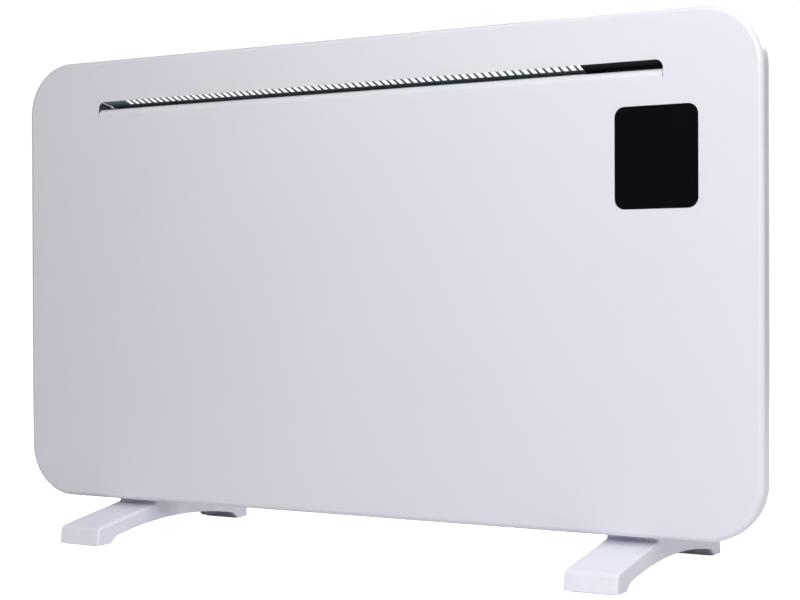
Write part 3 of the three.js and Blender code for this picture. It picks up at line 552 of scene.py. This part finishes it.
second_foot = copied(foot, "foot_right_moulding", shift=(-2 * foot_middle, 0, 0))
finish_piece(foot, "white_plastic", "foot_left")
finish_piece(second_foot, "white_plastic", "foot_right")

# %% [markdown]
# ## Rear casing
# The back of the heater is a deep tray of 1 mm sheet, with round lower corners, a soft rear fold, a
# sloping roof under the outlet and a flange that is screwed behind the panel's rim. It is a closed
# form with the flange added to it and the same form 1 mm smaller taken away. Its slots are one
# rounded block each for the floor and the back, copied at an even pitch, joined, and cut in one go.

# %% Tray, roof and flange
casing_low, casing_high = (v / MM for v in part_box("rear_casing"))
casing_front, casing_rear = casing_low.y, casing_high.y
flange_wide, flange_top = 10, 399.8
casing_side, casing_bottom = casing_high.x - flange_wide, casing_low.z + flange_wide
casing_corner, casing_fold, flange_corner = 28, 4, 4
roof_fall = math.tan(math.radians(18.3))
roof_y, roof_z = -53.3, 426.7  # a point of the roof plane


def roof_at(y, below=0.0):
    """Height in mm of the roof plane, the underside of the grille, lowered by below."""
    return roof_z - roof_fall * (y - roof_y) - below


def casing_form(name, inset, below):
    """The casing's closed form drawn in by inset mm, with all above the lowered roof plane cut off."""
    rear = casing_rear - inset
    form = start_panel(
        name, inset - casing_side, casing_side - inset, casing_bottom + inset, panel_top - 4, rear
    )
    select_where("VERT", lambda at, way: at.z < casing_bottom + casing_corner)
    bevel(casing_corner - inset, 12, "VERTICES")
    bpy.ops.mesh.select_mode(type="FACE")
    bpy.ops.mesh.select_all(action="SELECT")
    front = casing_front - inset
    extrude_faces(0, front - rear, 0)
    select_where("EDGE", lambda at, way: near(at.y, rear))
    bevel(casing_fold - inset, 6)
    cut_across((0, 0, roof_at(0, below)), (0, roof_fall, 1), clear_outer=True, use_fill=True)
    return closed(form)


casing = casing_form("casing_shell", 0, GAP)
flange = start_panel("flange", casing_low.x, casing_high.x, casing_low.z, flange_top, casing_front)
select_where("VERT", lambda at, way: near(at.z, casing_low.z))
bevel(casing_corner + flange_wide, 14, "VERTICES")
select_where("VERT", lambda at, way: near(at.z, flange_top))
bevel(flange_corner, 5, "VERTICES")
bpy.ops.mesh.select_mode(type="FACE")
bpy.ops.mesh.select_all(action="SELECT")
extrude_faces(0, sheet, 0)
join_with(casing, closed(flange))
cut_with(casing, casing_form("casing_inside", sheet, GAP + sheet * math.hypot(1, roof_fall)))
print("casing sheet", len(casing.data.polygons))

# %% Slots and holes of the casing
def repeated(piece, shifts):
    """Copies of a piece at each shift (mm), joined into one; the first one is removed."""
    copies = [copied(piece, f"{piece.name}_{i}", shift=shift) for i, shift in enumerate(shifts)]
    bpy.data.objects.remove(piece)
    clear_selection()
    for copy in copies:
        copy.select_set(True)
    bpy.context.view_layer.objects.active = copies[0]
    bpy.ops.object.join()
    return copies[0]


inlet_reach, inlet_pitch, inlet_half, inlet_round = 196, 28, 4.5, 4.49
under_half, behind_low, behind_high = 21, 71.2, 115.2
inlet_places = [(x, 0, 0) for x in range(-inlet_reach, inlet_reach + 1, inlet_pitch)]
casing_middle = (casing_front + casing_rear) / 2
floor_cut, rear_cut = (casing_bottom - 1, casing_bottom + 3), (casing_rear - 3, casing_rear + 1)
under = rounded_block(
    "under_slot", (-inlet_half, casing_middle - under_half, floor_cut[0]),
    (inlet_half, casing_middle + under_half, floor_cut[1]), 2, inlet_round,
)
cut_with(casing, repeated(closed(under), inlet_places))
behind = rounded_block(
    "rear_slot", (-inlet_half, rear_cut[0], behind_low),
    (inlet_half, rear_cut[1], behind_high), 1, inlet_round,
)
cut_with(casing, repeated(closed(behind), inlet_places))

keyhole_x, keyhole_z, keyhole_travel = 200.5, 318.2, 16
neck, neck_round, keyhole_head = 3.2, 3.19, 6
for x in (-keyhole_x, keyhole_x):
    throat = rounded_block(
        "throat",
        (x - neck, rear_cut[0], keyhole_z - neck),
        (x + neck, rear_cut[1], keyhole_z + keyhole_travel + neck), 1, neck_round,
    )
    closed(throat)
    cut_with(casing, throat, round_bar("screw_head", (x, rear_cut[0], keyhole_z), 4, keyhole_head, 1))
gland_at, gland_radius = Vector((323.5, casing_rear, 88.2)), 6
cut_with(casing, round_bar("gland_hole", (gland_at.x, rear_cut[0], gland_at.z), 4, gland_radius + GAP, 1))
switch_at = Vector((casing_side, -5.4, 198.2))
outlet_left, outlet_right, outlet_rear = -284.9, 238, 17.4
cut_with(
    casing,
    closed(start_block(
        "switch_hole", switch_at - Vector((3, 6.5, 9.5)), switch_at + Vector((1, 6.5, 9.5))
    )),
    closed(start_block(
        "outlet", (outlet_left, casing_front - 1, roof_at(casing_rear) - 6),
        (outlet_right, outlet_rear, panel_top),
    )),
)
foot_screws = [(x, y) for x in (foot_middle, -foot_middle) for y in (-foot_screw_y, foot_screw_y)]
for x, y in foot_screws:
    hole = round_bar("foot_screw_hole", (x, y, casing_bottom - 1), 4, foot_screw_hole, 2, sides=24)
    cut_with(casing, hole)
RIGHT_SCREWS = ((364, 90.2), (364, 240.0), (364, 389.8), (179, 42.2))  # x and z, the same on the left
casing_screws = [(side * x, z) for side in (-1, 1) for x, z in RIGHT_SCREWS]
for x, z in casing_screws:
    cut_with(casing, round_bar("screw_hole", (x, casing_front - 1, z), 4, 2.0, 1, sides=24))
finish_piece(casing, "casing_steel", "rear_casing")

# %% [markdown]
# ## Outlet grille
# The grille is a plate of thin sheet that falls to the back, with a flange turned up behind the
# slot and vents punched in two rows. A block is sheared into the slope, one vent of each row is
# modelled and copied at an even pitch, and each row is cut in one go. A bar is the 2 mm between two
# vents, so the pitch decides the whole look.

# %% Plate with its flange
grille_front, grille_rear = panel_front + sheet + GAP, casing_rear - 5
grille_edge, grille_corner = -285.9, slot_left - 1.4  # left end behind the slant, and at the flange
thin_sheet, flange_high = 0.8, 8
plate_low = roof_at(grille_front)
plate_high = plate_low + thin_sheet * math.hypot(1, roof_fall)
plate = start_block(
    "outlet_grille_plate", (slot_left - 2, grille_front, plate_low),
    (glass_low.x - 13, grille_rear, plate_high),
)
cut_across((0, grille_front + thin_sheet, 0), (0, 1, 0))
select_where("FACE", lambda at, way: near(at.z, plate_high) and at.y < grille_front + thin_sheet)
extrude_faces(0, 0, plate_low + flange_high - plate_high)
select_where("VERT", lambda at, way: near(at.y, grille_rear))
move_selected(0, 0, roof_at(grille_rear) - plate_low)
closed(plate)
print("plate falls from", round(plate_low, 1), "to", round(roof_at(grille_rear), 1))

# %% Slanted left end and the two rows of vents
cut_low, cut_high = roof_at(casing_rear) - 10, panel_top
corner = start_block(
    "corner", (slot_left - 20, grille_front - 5, cut_low), (grille_edge, grille_rear + 5, cut_high)
)
for y in (grille_front, casing_front):
    cut_across((0, y, 0), (0, 1, 0))
select_where("VERT", lambda at, way: near(at.x, grille_edge) and at.y < grille_front + 0.1)
move_selected(grille_corner - grille_edge, 0, 0)
cut_with(plate, closed(corner))

first_vent, vent_pitch, vent_count = -261.6, 7.267, 67
vent_wide, front_long, rear_long = 5.2, 11.3, 38
front_row = grille_front + 2
rear_row = front_row + front_long + 8
ROWS = [  # name, start and length of a vent, its width, and every how many vents it comes
    ("front_vent", front_row, front_long, vent_wide, 1),
    ("rear_vent", rear_row, rear_long, vent_wide + vent_pitch / 2, 2),
]
for name, start, long, wide, every in ROWS:
    vent = start_block(name, (first_vent, start, cut_low), (first_vent + wide, start + long, cut_high))
    cut_with(plate, repeated(closed(vent), [(i * vent_pitch, 0, 0) for i in range(0, vent_count, every)]))
finish_piece(plate, "slate_steel", "outlet_grille")

# %% [markdown]
# ## Screws
# All screws are pan head with a cross recess, turned from wire: the head is upset on the shank, so
# its rim is round and its top a little flat. One is modelled for each size, with Z along the screw,
# and copied to its holes.

# %% One screw, and its copies
def pan_screw(name, head, high, shank, long):
    """A screw with the underside of its head at z=0 and its shank below. Sizes are in mm."""
    screw = round_bar(name, (0, 0, 0), high, head, 2, sides=28)
    bpy.ops.object.mode_set(mode="EDIT")
    select_where("EDGE", lambda at, way: near(at.z, high))
    bevel(high * 0.48, 5)
    select_where("FACE", lambda at, way: near(at.z, 0) and near(abs(way.z), 1))
    bpy.ops.mesh.inset(thickness=(head - shank) * MM)
    extrude_faces(0, 0, -long)
    select_where("EDGE", lambda at, way: near(at.z, -long))
    bevel(shank * 0.3, 2)
    closed(screw)
    half, slim = head * 0.56, head * 0.12
    for x, y in ((half, slim), (slim, half)):
        arm = start_block("recess", (-x, -y, high * 0.45), (x, y, high + 1))
        select_where("VERT", lambda at, way: at.z < high)
        bpy.ops.transform.resize(value=(0.7, 0.7, 1), center_override=mm(0, 0, high))
        cut_with(screw, closed(arm))
    return screw


pattern = pan_screw("casing_screw_pattern", head=3.5, high=2.2, shank=1.7, long=6.9)
seat_y = casing_front + sheet + GAP
for number in range(1, 9):
    low, high = (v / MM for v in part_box(f"casing_screw_{number}"))
    x, z = (low.x + high.x) / 2, (low.z + high.z) / 2
    screw = copied(pattern, f"casing_screw_pan_{number}", turn=(-90, 0, 0), shift=(x, seat_y, z))
    finish_piece(screw, "bright_steel", f"casing_screw_{number}")
bpy.data.objects.remove(pattern)

pattern = pan_screw("foot_screw_pattern", head=4.5, high=3.0, shank=2.3, long=30)
for side in ("left", "right"):
    for end in ("front", "rear"):
        low, high = (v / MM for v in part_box(f"foot_screw_{side}_{end}"))
        place = ((low.x + high.x) / 2, (low.y + high.y) / 2, low.z + 3)
        screw = copied(pattern, f"foot_screw_pan_{side}_{end}", turn=(180, 0, 0), shift=place)
        finish_piece(screw, "bright_steel", f"foot_screw_{side}_{end}")
bpy.data.objects.remove(pattern)

# %% [markdown]
# ## Mains switch and cord gland
# The switch snaps into the casing's right wall: a black frame with a red rocker that turns on two
# pins, and the usual I and O raised on its halves. The rocker starts as a block cut across its
# middle, with that line pushed in, so its two faces slope like a roof. It is turned by its rest
# angle only at the end, when it is moved to its pin.

# %% Frame of the switch
bezel_x, bezel_thick = casing_side + GAP, 1.8
pin_x, behind_bezel = bezel_x - 1.5, bezel_x - 20


def round_switch(low_x, high_x, half_y, half_z, z=switch_at.z):
    """Two opposite corners of a block round the middle of the switch, in mm."""
    return (low_x, switch_at.y - half_y, z - half_z), (high_x, switch_at.y + half_y, z + half_z)


case = rounded_block("switch_case", *round_switch(bezel_x, bezel_x + bezel_thick, 7.7, 10.7), 0, 1.5, 5)
select_where("EDGE", lambda at, way: near(at.x, bezel_x + bezel_thick))
bevel(0.6, 3)
closed(case)
join_with(case, closed(start_block("case_box", *round_switch(behind_bezel, bezel_x + 0.5, 6.2, 9.2))))
for tab_z in (switch_at.z - 5, switch_at.z + 5):
    tab = start_block("tab", *round_switch(behind_bezel - 7, behind_bezel + 0.5, 2.4, 0.4, tab_z))
    join_with(case, closed(tab))
cut_with(
    case,
    closed(rounded_block("room", *round_switch(behind_bezel + 4, bezel_x + 4, 5.2, 8.4), 0, 0.6, 3)),
    round_bar("pin_hole", (pin_x, switch_at.y - 8, switch_at.z), 16, 1.5, 1, sides=24),
)
finish_piece(case, "black_plastic", "switch_body")

# %% Rocker with its marks
rocker_half, rocker_out, rocker_dip, rocker_wide = 7.5, 4, 1.8, 4.7
rest_angle = 9  # degrees, half of the travel
rocker = start_block(
    "rocker_key", (-4.5, -rocker_wide, -rocker_half), (rocker_out, rocker_wide, rocker_half)
)
cut_across((0, 0, 0), (0, 0, 1))
select_where("VERT", lambda at, way: near(at.z, 0) and near(at.x, rocker_out))
move_selected(-rocker_dip, 0, 0)
for way in (-1, 1):
    select_where("VERT", lambda at, normal: near(at.z, way * rocker_half) and at.x < 0)
    move_selected(0, 0, -way * 1.5)
select_where("EDGE", lambda at, way: at.x > 0.5 and not (near(at.y, 0) and near(at.z, 0)))
bevel(0.6, 4)
closed(rocker)
join_with(rocker, round_bar("pins", (0, -6, 0), 12, 1.2, 1, sides=24))

slope = math.degrees(math.atan2(rocker_dip, rocker_half))
mark_x, mark_high, mark_z = rocker_out - rocker_dip / 2, 0.16, rocker_half / 2
line = placed(
    closed(rounded_block("mark_on", (-0.3, -0.35, -1.7), (mark_high, 0.35, 1.7), 0, 0.15, 3)),
    turn=(0, slope, 0), shift=(mark_x, 0, mark_z),
)
ring = round_bar("mark_off", (-0.3, 0, 0), 0.3 + mark_high, 1.75, 0)
cut_with(ring, round_bar("ring_hole", (-1, 0, 0), 2, 1.15, 0))
ring = placed(ring, turn=(0, -slope, 0), shift=(mark_x, 0, -mark_z))
join_with(line, ring)
for piece in (rocker, line):
    placed(piece, turn=(0, rest_angle, 0), shift=(pin_x, switch_at.y, switch_at.z))
line.name = "rocker_marks"
finish_piece(rocker, "red_plastic", "switch_rocker", body="rocker")
finish_piece(line, "white_plastic", body="rocker")

# %% Cord gland
gland = round_bar("gland_shell", (0, 0, -12), 12.3, gland_radius, 2)
bpy.ops.object.mode_set(mode="EDIT")
select_where("FACE", lambda at, way: near(at.z, 0.3) and near(abs(way.z), 1))
STEPS = [(0, 9 / 6), (2.3, 1), (4.4, 5.6 / 9)]  # rise in mm, then growth of the ring
for rise, growth in STEPS:
    extrude_faces(0, 0, rise)
    bpy.ops.transform.resize(value=(growth, growth, 1), center_override=(0, 0, 0))
select_where("EDGE", lambda at, way: (near(at.z, 2.6) or near(at.z, 7)) and near(way.z, 0))
bevel(0.5, 3)
closed(gland)
cut_with(gland, round_bar("bore", (0, 0, -13), 22, 3.9, 2))
placed(gland, turn=(-90, 0, 0), shift=gland_at)
finish_piece(gland, "black_plastic", "cord_gland")

# %% [markdown]
# ## Finishes
# A finish is a small set of shader nodes. What several finishes share, such as the orange peel of
# powder coat or the grain of moulded plastic, is a node group that gives a color, a roughness and a
# height. The shader itself stays in each material, and so does every value that is the same all
# over the surface.

# %% Helpers for shader nodes
def add_node(tree, kind, inputs=None, **settings):
    """Adds a shader node; a socket given as an input is linked, and any other value is set."""
    made = tree.nodes.new("ShaderNode" + kind)
    for key, value in settings.items():
        setattr(made, key, value)
    for key, value in (inputs or {}).items():
        if isinstance(value, bpy.types.NodeSocket):
            tree.links.new(value, made.inputs[key])
        else:
            made.inputs[key].default_value = value
    return made


def new_group(name, inputs, outputs):
    """A node group: inputs are names with default values, outputs are names with FLOAT or COLOR."""
    tree = bpy.data.node_groups.new(name, "ShaderNodeTree")
    for key, value in inputs.items():
        kind = "NodeSocketFloat" if isinstance(value, (int, float)) else "NodeSocketColor"
        tree.interface.new_socket(name=key, in_out="INPUT", socket_type=kind).default_value = value
    for key, kind in outputs.items():
        tree.interface.new_socket(name=key, in_out="OUTPUT", socket_type="NodeSocket" + kind)
    start, end = tree.nodes.new("NodeGroupInput"), tree.nodes.new("NodeGroupOutput")
    return tree, start.outputs, end.inputs


def object_point(tree, stretch=(1, 1, 1)):
    """The place on the piece in metres, stretched along X, Y and Z."""
    place = add_node(tree, "TexCoord").outputs["Object"]
    return add_node(tree, "Mapping", {"Vector": place, "Scale": stretch}).outputs["Vector"]


def math_node(tree, operation, a, b):
    return add_node(tree, "Math", {0: a, 1: b}, operation=operation).outputs[0]


def spread(tree, value, low, high):
    """Takes a texture's usual 0.3 to 0.7 and spreads it from low to high."""
    inputs = {"Value": value, "From Min": 0.3, "From Max": 0.7, "To Min": low, "To Max": high}
    return add_node(tree, "MapRange", inputs).outputs["Result"]


def mix_color(tree, factor, a, b):
    made = add_node(tree, "Mix", {"Factor": factor}, data_type="RGBA")
    for socket, value in ((made.inputs[6], a), (made.inputs[7], b)):
        if isinstance(value, bpy.types.NodeSocket):
            tree.links.new(value, socket)
        else:
            socket.default_value = value
    return made.outputs[2]


def rgb(red, green, blue):
    return (red, green, blue, 1.0)


def noise(tree, point, scale, detail):
    return add_node(tree, "TexNoise", {"Vector": point, "Scale": scale, "Detail": detail}).outputs["Fac"]


SURFACE = {"Color": "Color", "Roughness": "Float", "Height": "Float"}
PALE = {"Color": rgb(0.8, 0.8, 0.8), "Shade": rgb(0.7, 0.7, 0.7)}
DULL = {"Color": rgb(0.7, 0.7, 0.7), "Shade": rgb(0.5, 0.5, 0.5)}
print("helpers for nodes are ready")

# %% [markdown]
# ### Powder coat
# Baked powder never lies quite flat: it has a soft orange peel about a millimetre across, and its
# color drifts a little over a hand's width. Two noise textures of those sizes give the height and
# the color.

# %% Group: powder coat
tree, given, out = new_group("Powder coat", {**PALE, "Peel": 520.0, "Gloss": 0.3}, SURFACE)
place = object_point(tree)
drift = noise(tree, place, 7.0, 3.0)
peel = noise(tree, place, given["Peel"], 2.0)
speck_scale = math_node(tree, "MULTIPLY", given["Peel"], 4.3)
speck = noise(tree, place, speck_scale, 1.0)
both = math_node(tree, "ADD", spread(tree, drift, 0, 0.7), spread(tree, peel, 0, 0.3))
tree.links.new(mix_color(tree, both, given["Color"], given["Shade"]), out["Color"])
rough = math_node(tree, "ADD", given["Gloss"], spread(tree, speck, -0.04, 0.04))
tree.links.new(rough, out["Roughness"])
soft, sharp = math_node(tree, "MULTIPLY", peel, 0.8), math_node(tree, "MULTIPLY", speck, 0.2)
height = math_node(tree, "ADD", soft, sharp)
tree.links.new(height, out["Height"])
print("powder coat", len(tree.nodes))

# %% [markdown]
# ### Moulded plastic
# A moulded part copies the fine spark-eroded grain of its steel mould, and its color is even, with
# faint flow marks. Voronoi cells well under a millimetre make the pits, and a slow noise drawn out
# along the part makes the flow.

# %% Group: moulded grain
tree, given, out = new_group("Moulded grain", {**PALE, "Grain": 1800.0, "Gloss": 0.4}, SURFACE)
flow = noise(tree, object_point(tree, (14, 3, 14)), 2.0, 3.0)
pits = add_node(
    tree, "TexVoronoi", {"Vector": object_point(tree), "Scale": given["Grain"]}, feature="SMOOTH_F1"
)
soft = noise(tree, object_point(tree), given["Grain"], 1.0)
both = math_node(tree, "ADD", spread(tree, flow, 0, 0.75), spread(tree, soft, 0, 0.25))
tree.links.new(mix_color(tree, both, given["Color"], given["Shade"]), out["Color"])
rough = math_node(tree, "ADD", given["Gloss"], spread(tree, flow, -0.05, 0.05))
tree.links.new(rough, out["Roughness"])
height = math_node(tree, "ADD", pits.outputs["Distance"], soft)
tree.links.new(height, out["Height"])
print("moulded grain", len(tree.nodes))

# %% [markdown]
# ### Drawn and rolled metal
# Rolled sheet and drawn bar carry fine lines along their length. A noise squeezed across one
# direction gives lines, and the same group serves every bright part of the heater, with its own
# colors.

# %% Group: drawn lines
tree, given, out = new_group("Drawn lines", {**DULL, "Lines": 900.0, "Gloss": 0.3}, SURFACE)
lines = noise(tree, object_point(tree, (0.03, 1, 1)), given["Lines"], 2.0)
stain = noise(tree, object_point(tree), 40.0, 4.0)
both = math_node(tree, "ADD", spread(tree, lines, 0, 0.5), spread(tree, stain, 0, 0.5))
tree.links.new(mix_color(tree, both, given["Color"], given["Shade"]), out["Color"])
rough = math_node(tree, "ADD", given["Gloss"], spread(tree, stain, -0.06, 0.1))
tree.links.new(rough, out["Roughness"])
tree.links.new(lines, out["Height"])
print("drawn lines", len(tree.nodes))

# %% [markdown]
# ### Zinc spangle
# Hot zinc sets in flat crystals of a few millimetres, each with its own grey. A Voronoi texture
# gives every crystal a random color of its own, and its brightness is all that is used.

# %% Group: zinc spangle
tree, given, out = new_group("Zinc spangle", {**DULL, "Crystals": 260.0, "Gloss": 0.4}, SURFACE)
cells = add_node(tree, "TexVoronoi", {"Vector": object_point(tree), "Scale": given["Crystals"]})
own = add_node(tree, "RGBToBW", {"Color": cells.outputs["Color"]}).outputs["Val"]
dull = noise(tree, object_point(tree), 30.0, 4.0)
both = math_node(tree, "ADD", math_node(tree, "MULTIPLY", own, 0.6), spread(tree, dull, 0, 0.4))
tree.links.new(mix_color(tree, both, given["Color"], given["Shade"]), out["Color"])
rough = math_node(tree, "ADD", given["Gloss"], math_node(tree, "MULTIPLY", own, 0.14))
tree.links.new(rough, out["Roughness"])
tree.links.new(own, out["Height"])
print("zinc spangle", len(tree.nodes))

# %% [markdown]
# ### From a group to a finish
# `finish` builds a material: a group with this finish's own values feeds color, roughness and a
# bump. The bump's distance is the real depth of the texture in metres. Values such as metal or coat
# are set on the shader.

# %% Make every finish
def finish(name, group_name, values, depth, **shader_values):
    material = bpy.data.materials.new(name)
    material.use_nodes = True
    tree = material.node_tree
    shader = tree.nodes["Principled BSDF"]
    group = tree.nodes.new("ShaderNodeGroup")
    group.node_tree = bpy.data.node_groups[group_name]
    for key, value in values.items():
        group.inputs[key].default_value = value
    tree.links.new(group.outputs["Color"], shader.inputs["Base Color"])
    tree.links.new(group.outputs["Roughness"], shader.inputs["Roughness"])
    bump = add_node(tree, "Bump", {"Height": group.outputs["Height"], "Distance": depth, "Strength": 1.0})
    tree.links.new(bump.outputs["Normal"], shader.inputs["Normal"])
    for key, value in shader_values.items():
        shader.inputs[key.replace("_", " ")].default_value = value
    return material


def colors(color, shade, **others):
    return {"Color": rgb(*color), "Shade": rgb(*shade), **others}


FINISHES = {
    "white_steel": finish(
        "white gloss powder coat", "Powder coat",
        colors((0.805, 0.81, 0.875), (0.782, 0.79, 0.857), Peel=420.0, Gloss=0.34),
        0.000012, Coat_Weight=0.25, Coat_Roughness=0.16,
    ),
    "casing_steel": finish(
        "white satin powder coat", "Powder coat",
        colors((0.775, 0.782, 0.835), (0.748, 0.757, 0.812), Peel=650.0, Gloss=0.52), 0.00002,
    ),
    "slate_steel": finish(
        "slate satin powder coat", "Powder coat",
        colors((0.31, 0.375, 0.46), (0.26, 0.315, 0.39), Peel=700.0, Gloss=0.42), 0.00002,
    ),
    # Darker than bare zinc: besides the zinc's own grey, this colour holds painted shade for the duct
    # walls that lie in shade inside the slot.
    "zinc_steel": finish(
        "zinc sheet with painted shade", "Zinc spangle",
        colors((0.20, 0.21, 0.225), (0.13, 0.14, 0.15), Crystals=230.0, Gloss=0.4), 0.000006,
        Metallic=1.0,
    ),
    "bright_steel": finish(
        "bright plated steel", "Drawn lines",
        colors((0.68, 0.69, 0.70), (0.50, 0.51, 0.53), Lines=2600.0, Gloss=0.22), 0.000006, Metallic=1.0,
    ),
    "aluminium": finish(
        "extruded aluminium", "Drawn lines",
        colors((0.80, 0.81, 0.82), (0.62, 0.63, 0.65), Lines=1400.0, Gloss=0.34), 0.00001, Metallic=1.0,
    ),
    "ceramic": finish(
        "unglazed ceramic", "Moulded grain",
        colors((0.78, 0.73, 0.63), (0.68, 0.62, 0.52), Grain=2200.0, Gloss=0.7), 0.00003,
    ),
    "black_glass": finish(
        "black backed glass", "Powder coat",
        colors((0.0022, 0.0030, 0.0042), (0.0036, 0.0046, 0.0060), Peel=60.0, Gloss=0.07),
        0.000001, Specular_IOR_Level=0.12,
    ),
    "black_plastic": finish(
        "black moulded plastic", "Moulded grain",
        colors((0.006, 0.006, 0.008), (0.010, 0.010, 0.012), Grain=2600.0, Gloss=0.5), 0.00003,
        Specular_IOR_Level=0.25,
    ),
    "white_plastic": finish(
        "white moulded plastic", "Moulded grain",
        colors((0.885, 0.895, 0.975), (0.86, 0.87, 0.95), Grain=2600.0, Gloss=0.36), 0.00001,
    ),
    "circuit_board": finish(
        "green board", "Moulded grain",
        colors((0.012, 0.10, 0.045), (0.02, 0.16, 0.07), Grain=900.0, Gloss=0.35), 0.00002,
    ),
    "red_plastic": finish(
        "red gloss plastic", "Moulded grain",
        colors((0.50, 0.018, 0.014), (0.42, 0.012, 0.010), Grain=1500.0, Gloss=0.2), 0.000006,
    ),
    "rubber": finish(
        "black rubber", "Moulded grain",
        colors((0.018, 0.018, 0.019), (0.032, 0.032, 0.033), Grain=1300.0, Gloss=0.8), 0.00005,
    ),
}
slot_of = {row["node"]: row["material_slot"] for row in frame["record"]["subparts"]}


def paint(piece, slot):
    piece.data.materials.clear()
    piece.data.materials.append(FINISHES[slot])


for name, node in nodes.items():
    paint(node, slot_of[name])
for piece in [o for o in bpy.context.scene.objects if "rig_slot" in o]:
    paint(piece, piece["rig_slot"])
print("finishes", len(FINISHES))

# %% [markdown]
# ## Studio
# The camera is where the photograph was taken from: about a metre and a half away, 30 degrees round
# to the right and at half the heater's height, with a long lens. It sees a white floor in a white
# room. Both are bright to the camera only: the room gives the heater a tenth of that light and the
# floor sends back what falls on it. Four lamps give the rest, so the white edges show against the
# white.

# %% Floor and world
clear_selection()
bpy.ops.mesh.primitive_plane_add(size=1, location=(0, 1.31, 0))
floor = bpy.context.object
floor.name = "floor"
floor.scale = (7.0, 5.4, 1)
bpy.ops.object.transform_apply(location=True, rotation=True, scale=True)
floor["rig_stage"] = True
floor_finish = bpy.data.materials.new("pale floor")
floor_finish.use_nodes = True
tree = floor_finish.node_tree
shader = tree.nodes["Principled BSDF"]
faint = noise(tree, object_point(tree), 3.0, 2.0)
pale = mix_color(tree, faint, rgb(0.74, 0.74, 0.75), rgb(0.78, 0.78, 0.79))
tree.links.new(pale, shader.inputs["Base Color"])
shader.inputs["Roughness"].default_value = 0.9
shader.inputs["Emission Color"].default_value = rgb(1, 1, 1)
seen = add_node(tree, "LightPath").outputs["Is Camera Ray"]
tree.links.new(seen, shader.inputs["Emission Strength"])
floor.data.materials.append(floor_finish)

world = bpy.data.worlds.new("studio")
bpy.context.scene.world = world
world.use_nodes = True
tree = world.node_tree
tree.nodes.clear()
seen = add_node(tree, "LightPath").outputs["Is Camera Ray"]
strength = add_node(tree, "MapRange", {"Value": seen, "To Min": 0.10, "To Max": 1.05}).outputs["Result"]
room = add_node(tree, "Background", {"Color": rgb(1, 1, 1), "Strength": strength})
add_node(tree, "OutputWorld", {"Surface": room.outputs[0]})
bpy.context.scene.view_settings.view_transform = "Standard"
print("floor", tuple(floor.dimensions))


# %% Lamps
def softbox(name, at, towards, size, watts):
    """A rectangular lamp that faces a point and that the camera doesn't see. Sizes are in metres."""
    data = bpy.data.lights.new(name, "AREA")
    data.shape, data.size, data.size_y = "RECTANGLE", *size
    data.energy = watts
    lamp = bpy.data.objects.new(name, data)
    bpy.context.scene.collection.objects.link(lamp)
    lamp.location = at
    lamp.visible_camera = False
    lamp.rotation_euler = (Vector(towards) - Vector(at)).to_track_quat("-Z", "Y").to_euler()


LAMPS = [  # name, place, the point it faces, width and height, watts
    ("top right", (0.8, -0.7, 2.0), (0.3, 0, 0.2), (1.2, 1.0), 14.5),
    ("front right", (1.0, -2.0, 1.2), (0.2, 0, 0.2), (1.0, 0.8), 25.8),
    ("near front", (0.3, -0.7, 0.9), (0.3, 0, 0.35), (0.5, 0.5), 1.3),
    ("behind", (0.3, 1.6, 1.4), (0, 0, 0.25), (2.0, 1.0), 34.2),
]
for row in LAMPS:
    softbox(*row)

# %% Camera
yaw, pitch, roll = (math.radians(angle) for angle in (29.96, -0.31, -0.21))
forward = Vector((-math.sin(yaw) * math.cos(pitch), math.cos(yaw) * math.cos(pitch), math.sin(pitch)))
right = Vector((math.cos(yaw), math.sin(yaw), 0))
up = right.cross(forward)
right, up = math.cos(roll) * right + math.sin(roll) * up, math.cos(roll) * up - math.sin(roll) * right
camera_data = bpy.data.cameras.new("camera")
sensor, image_width, focal_pixels = 36, 800, 1657.9
camera_data.sensor_width, camera_data.lens = sensor, sensor * focal_pixels / image_width
camera = bpy.data.objects.new("camera", camera_data)
bpy.context.scene.collection.objects.link(camera)
camera.matrix_world = Matrix((right, up, -forward)).transposed().to_4x4()
camera.location = mm(781.8, -1322.1, 238.5)
bpy.context.scene.camera = camera
print("lens", round(camera_data.lens, 1))

# %% Print the box round the visible pieces
low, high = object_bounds()
print("visual box", [round(v, 4) for v in (*low, *high)])
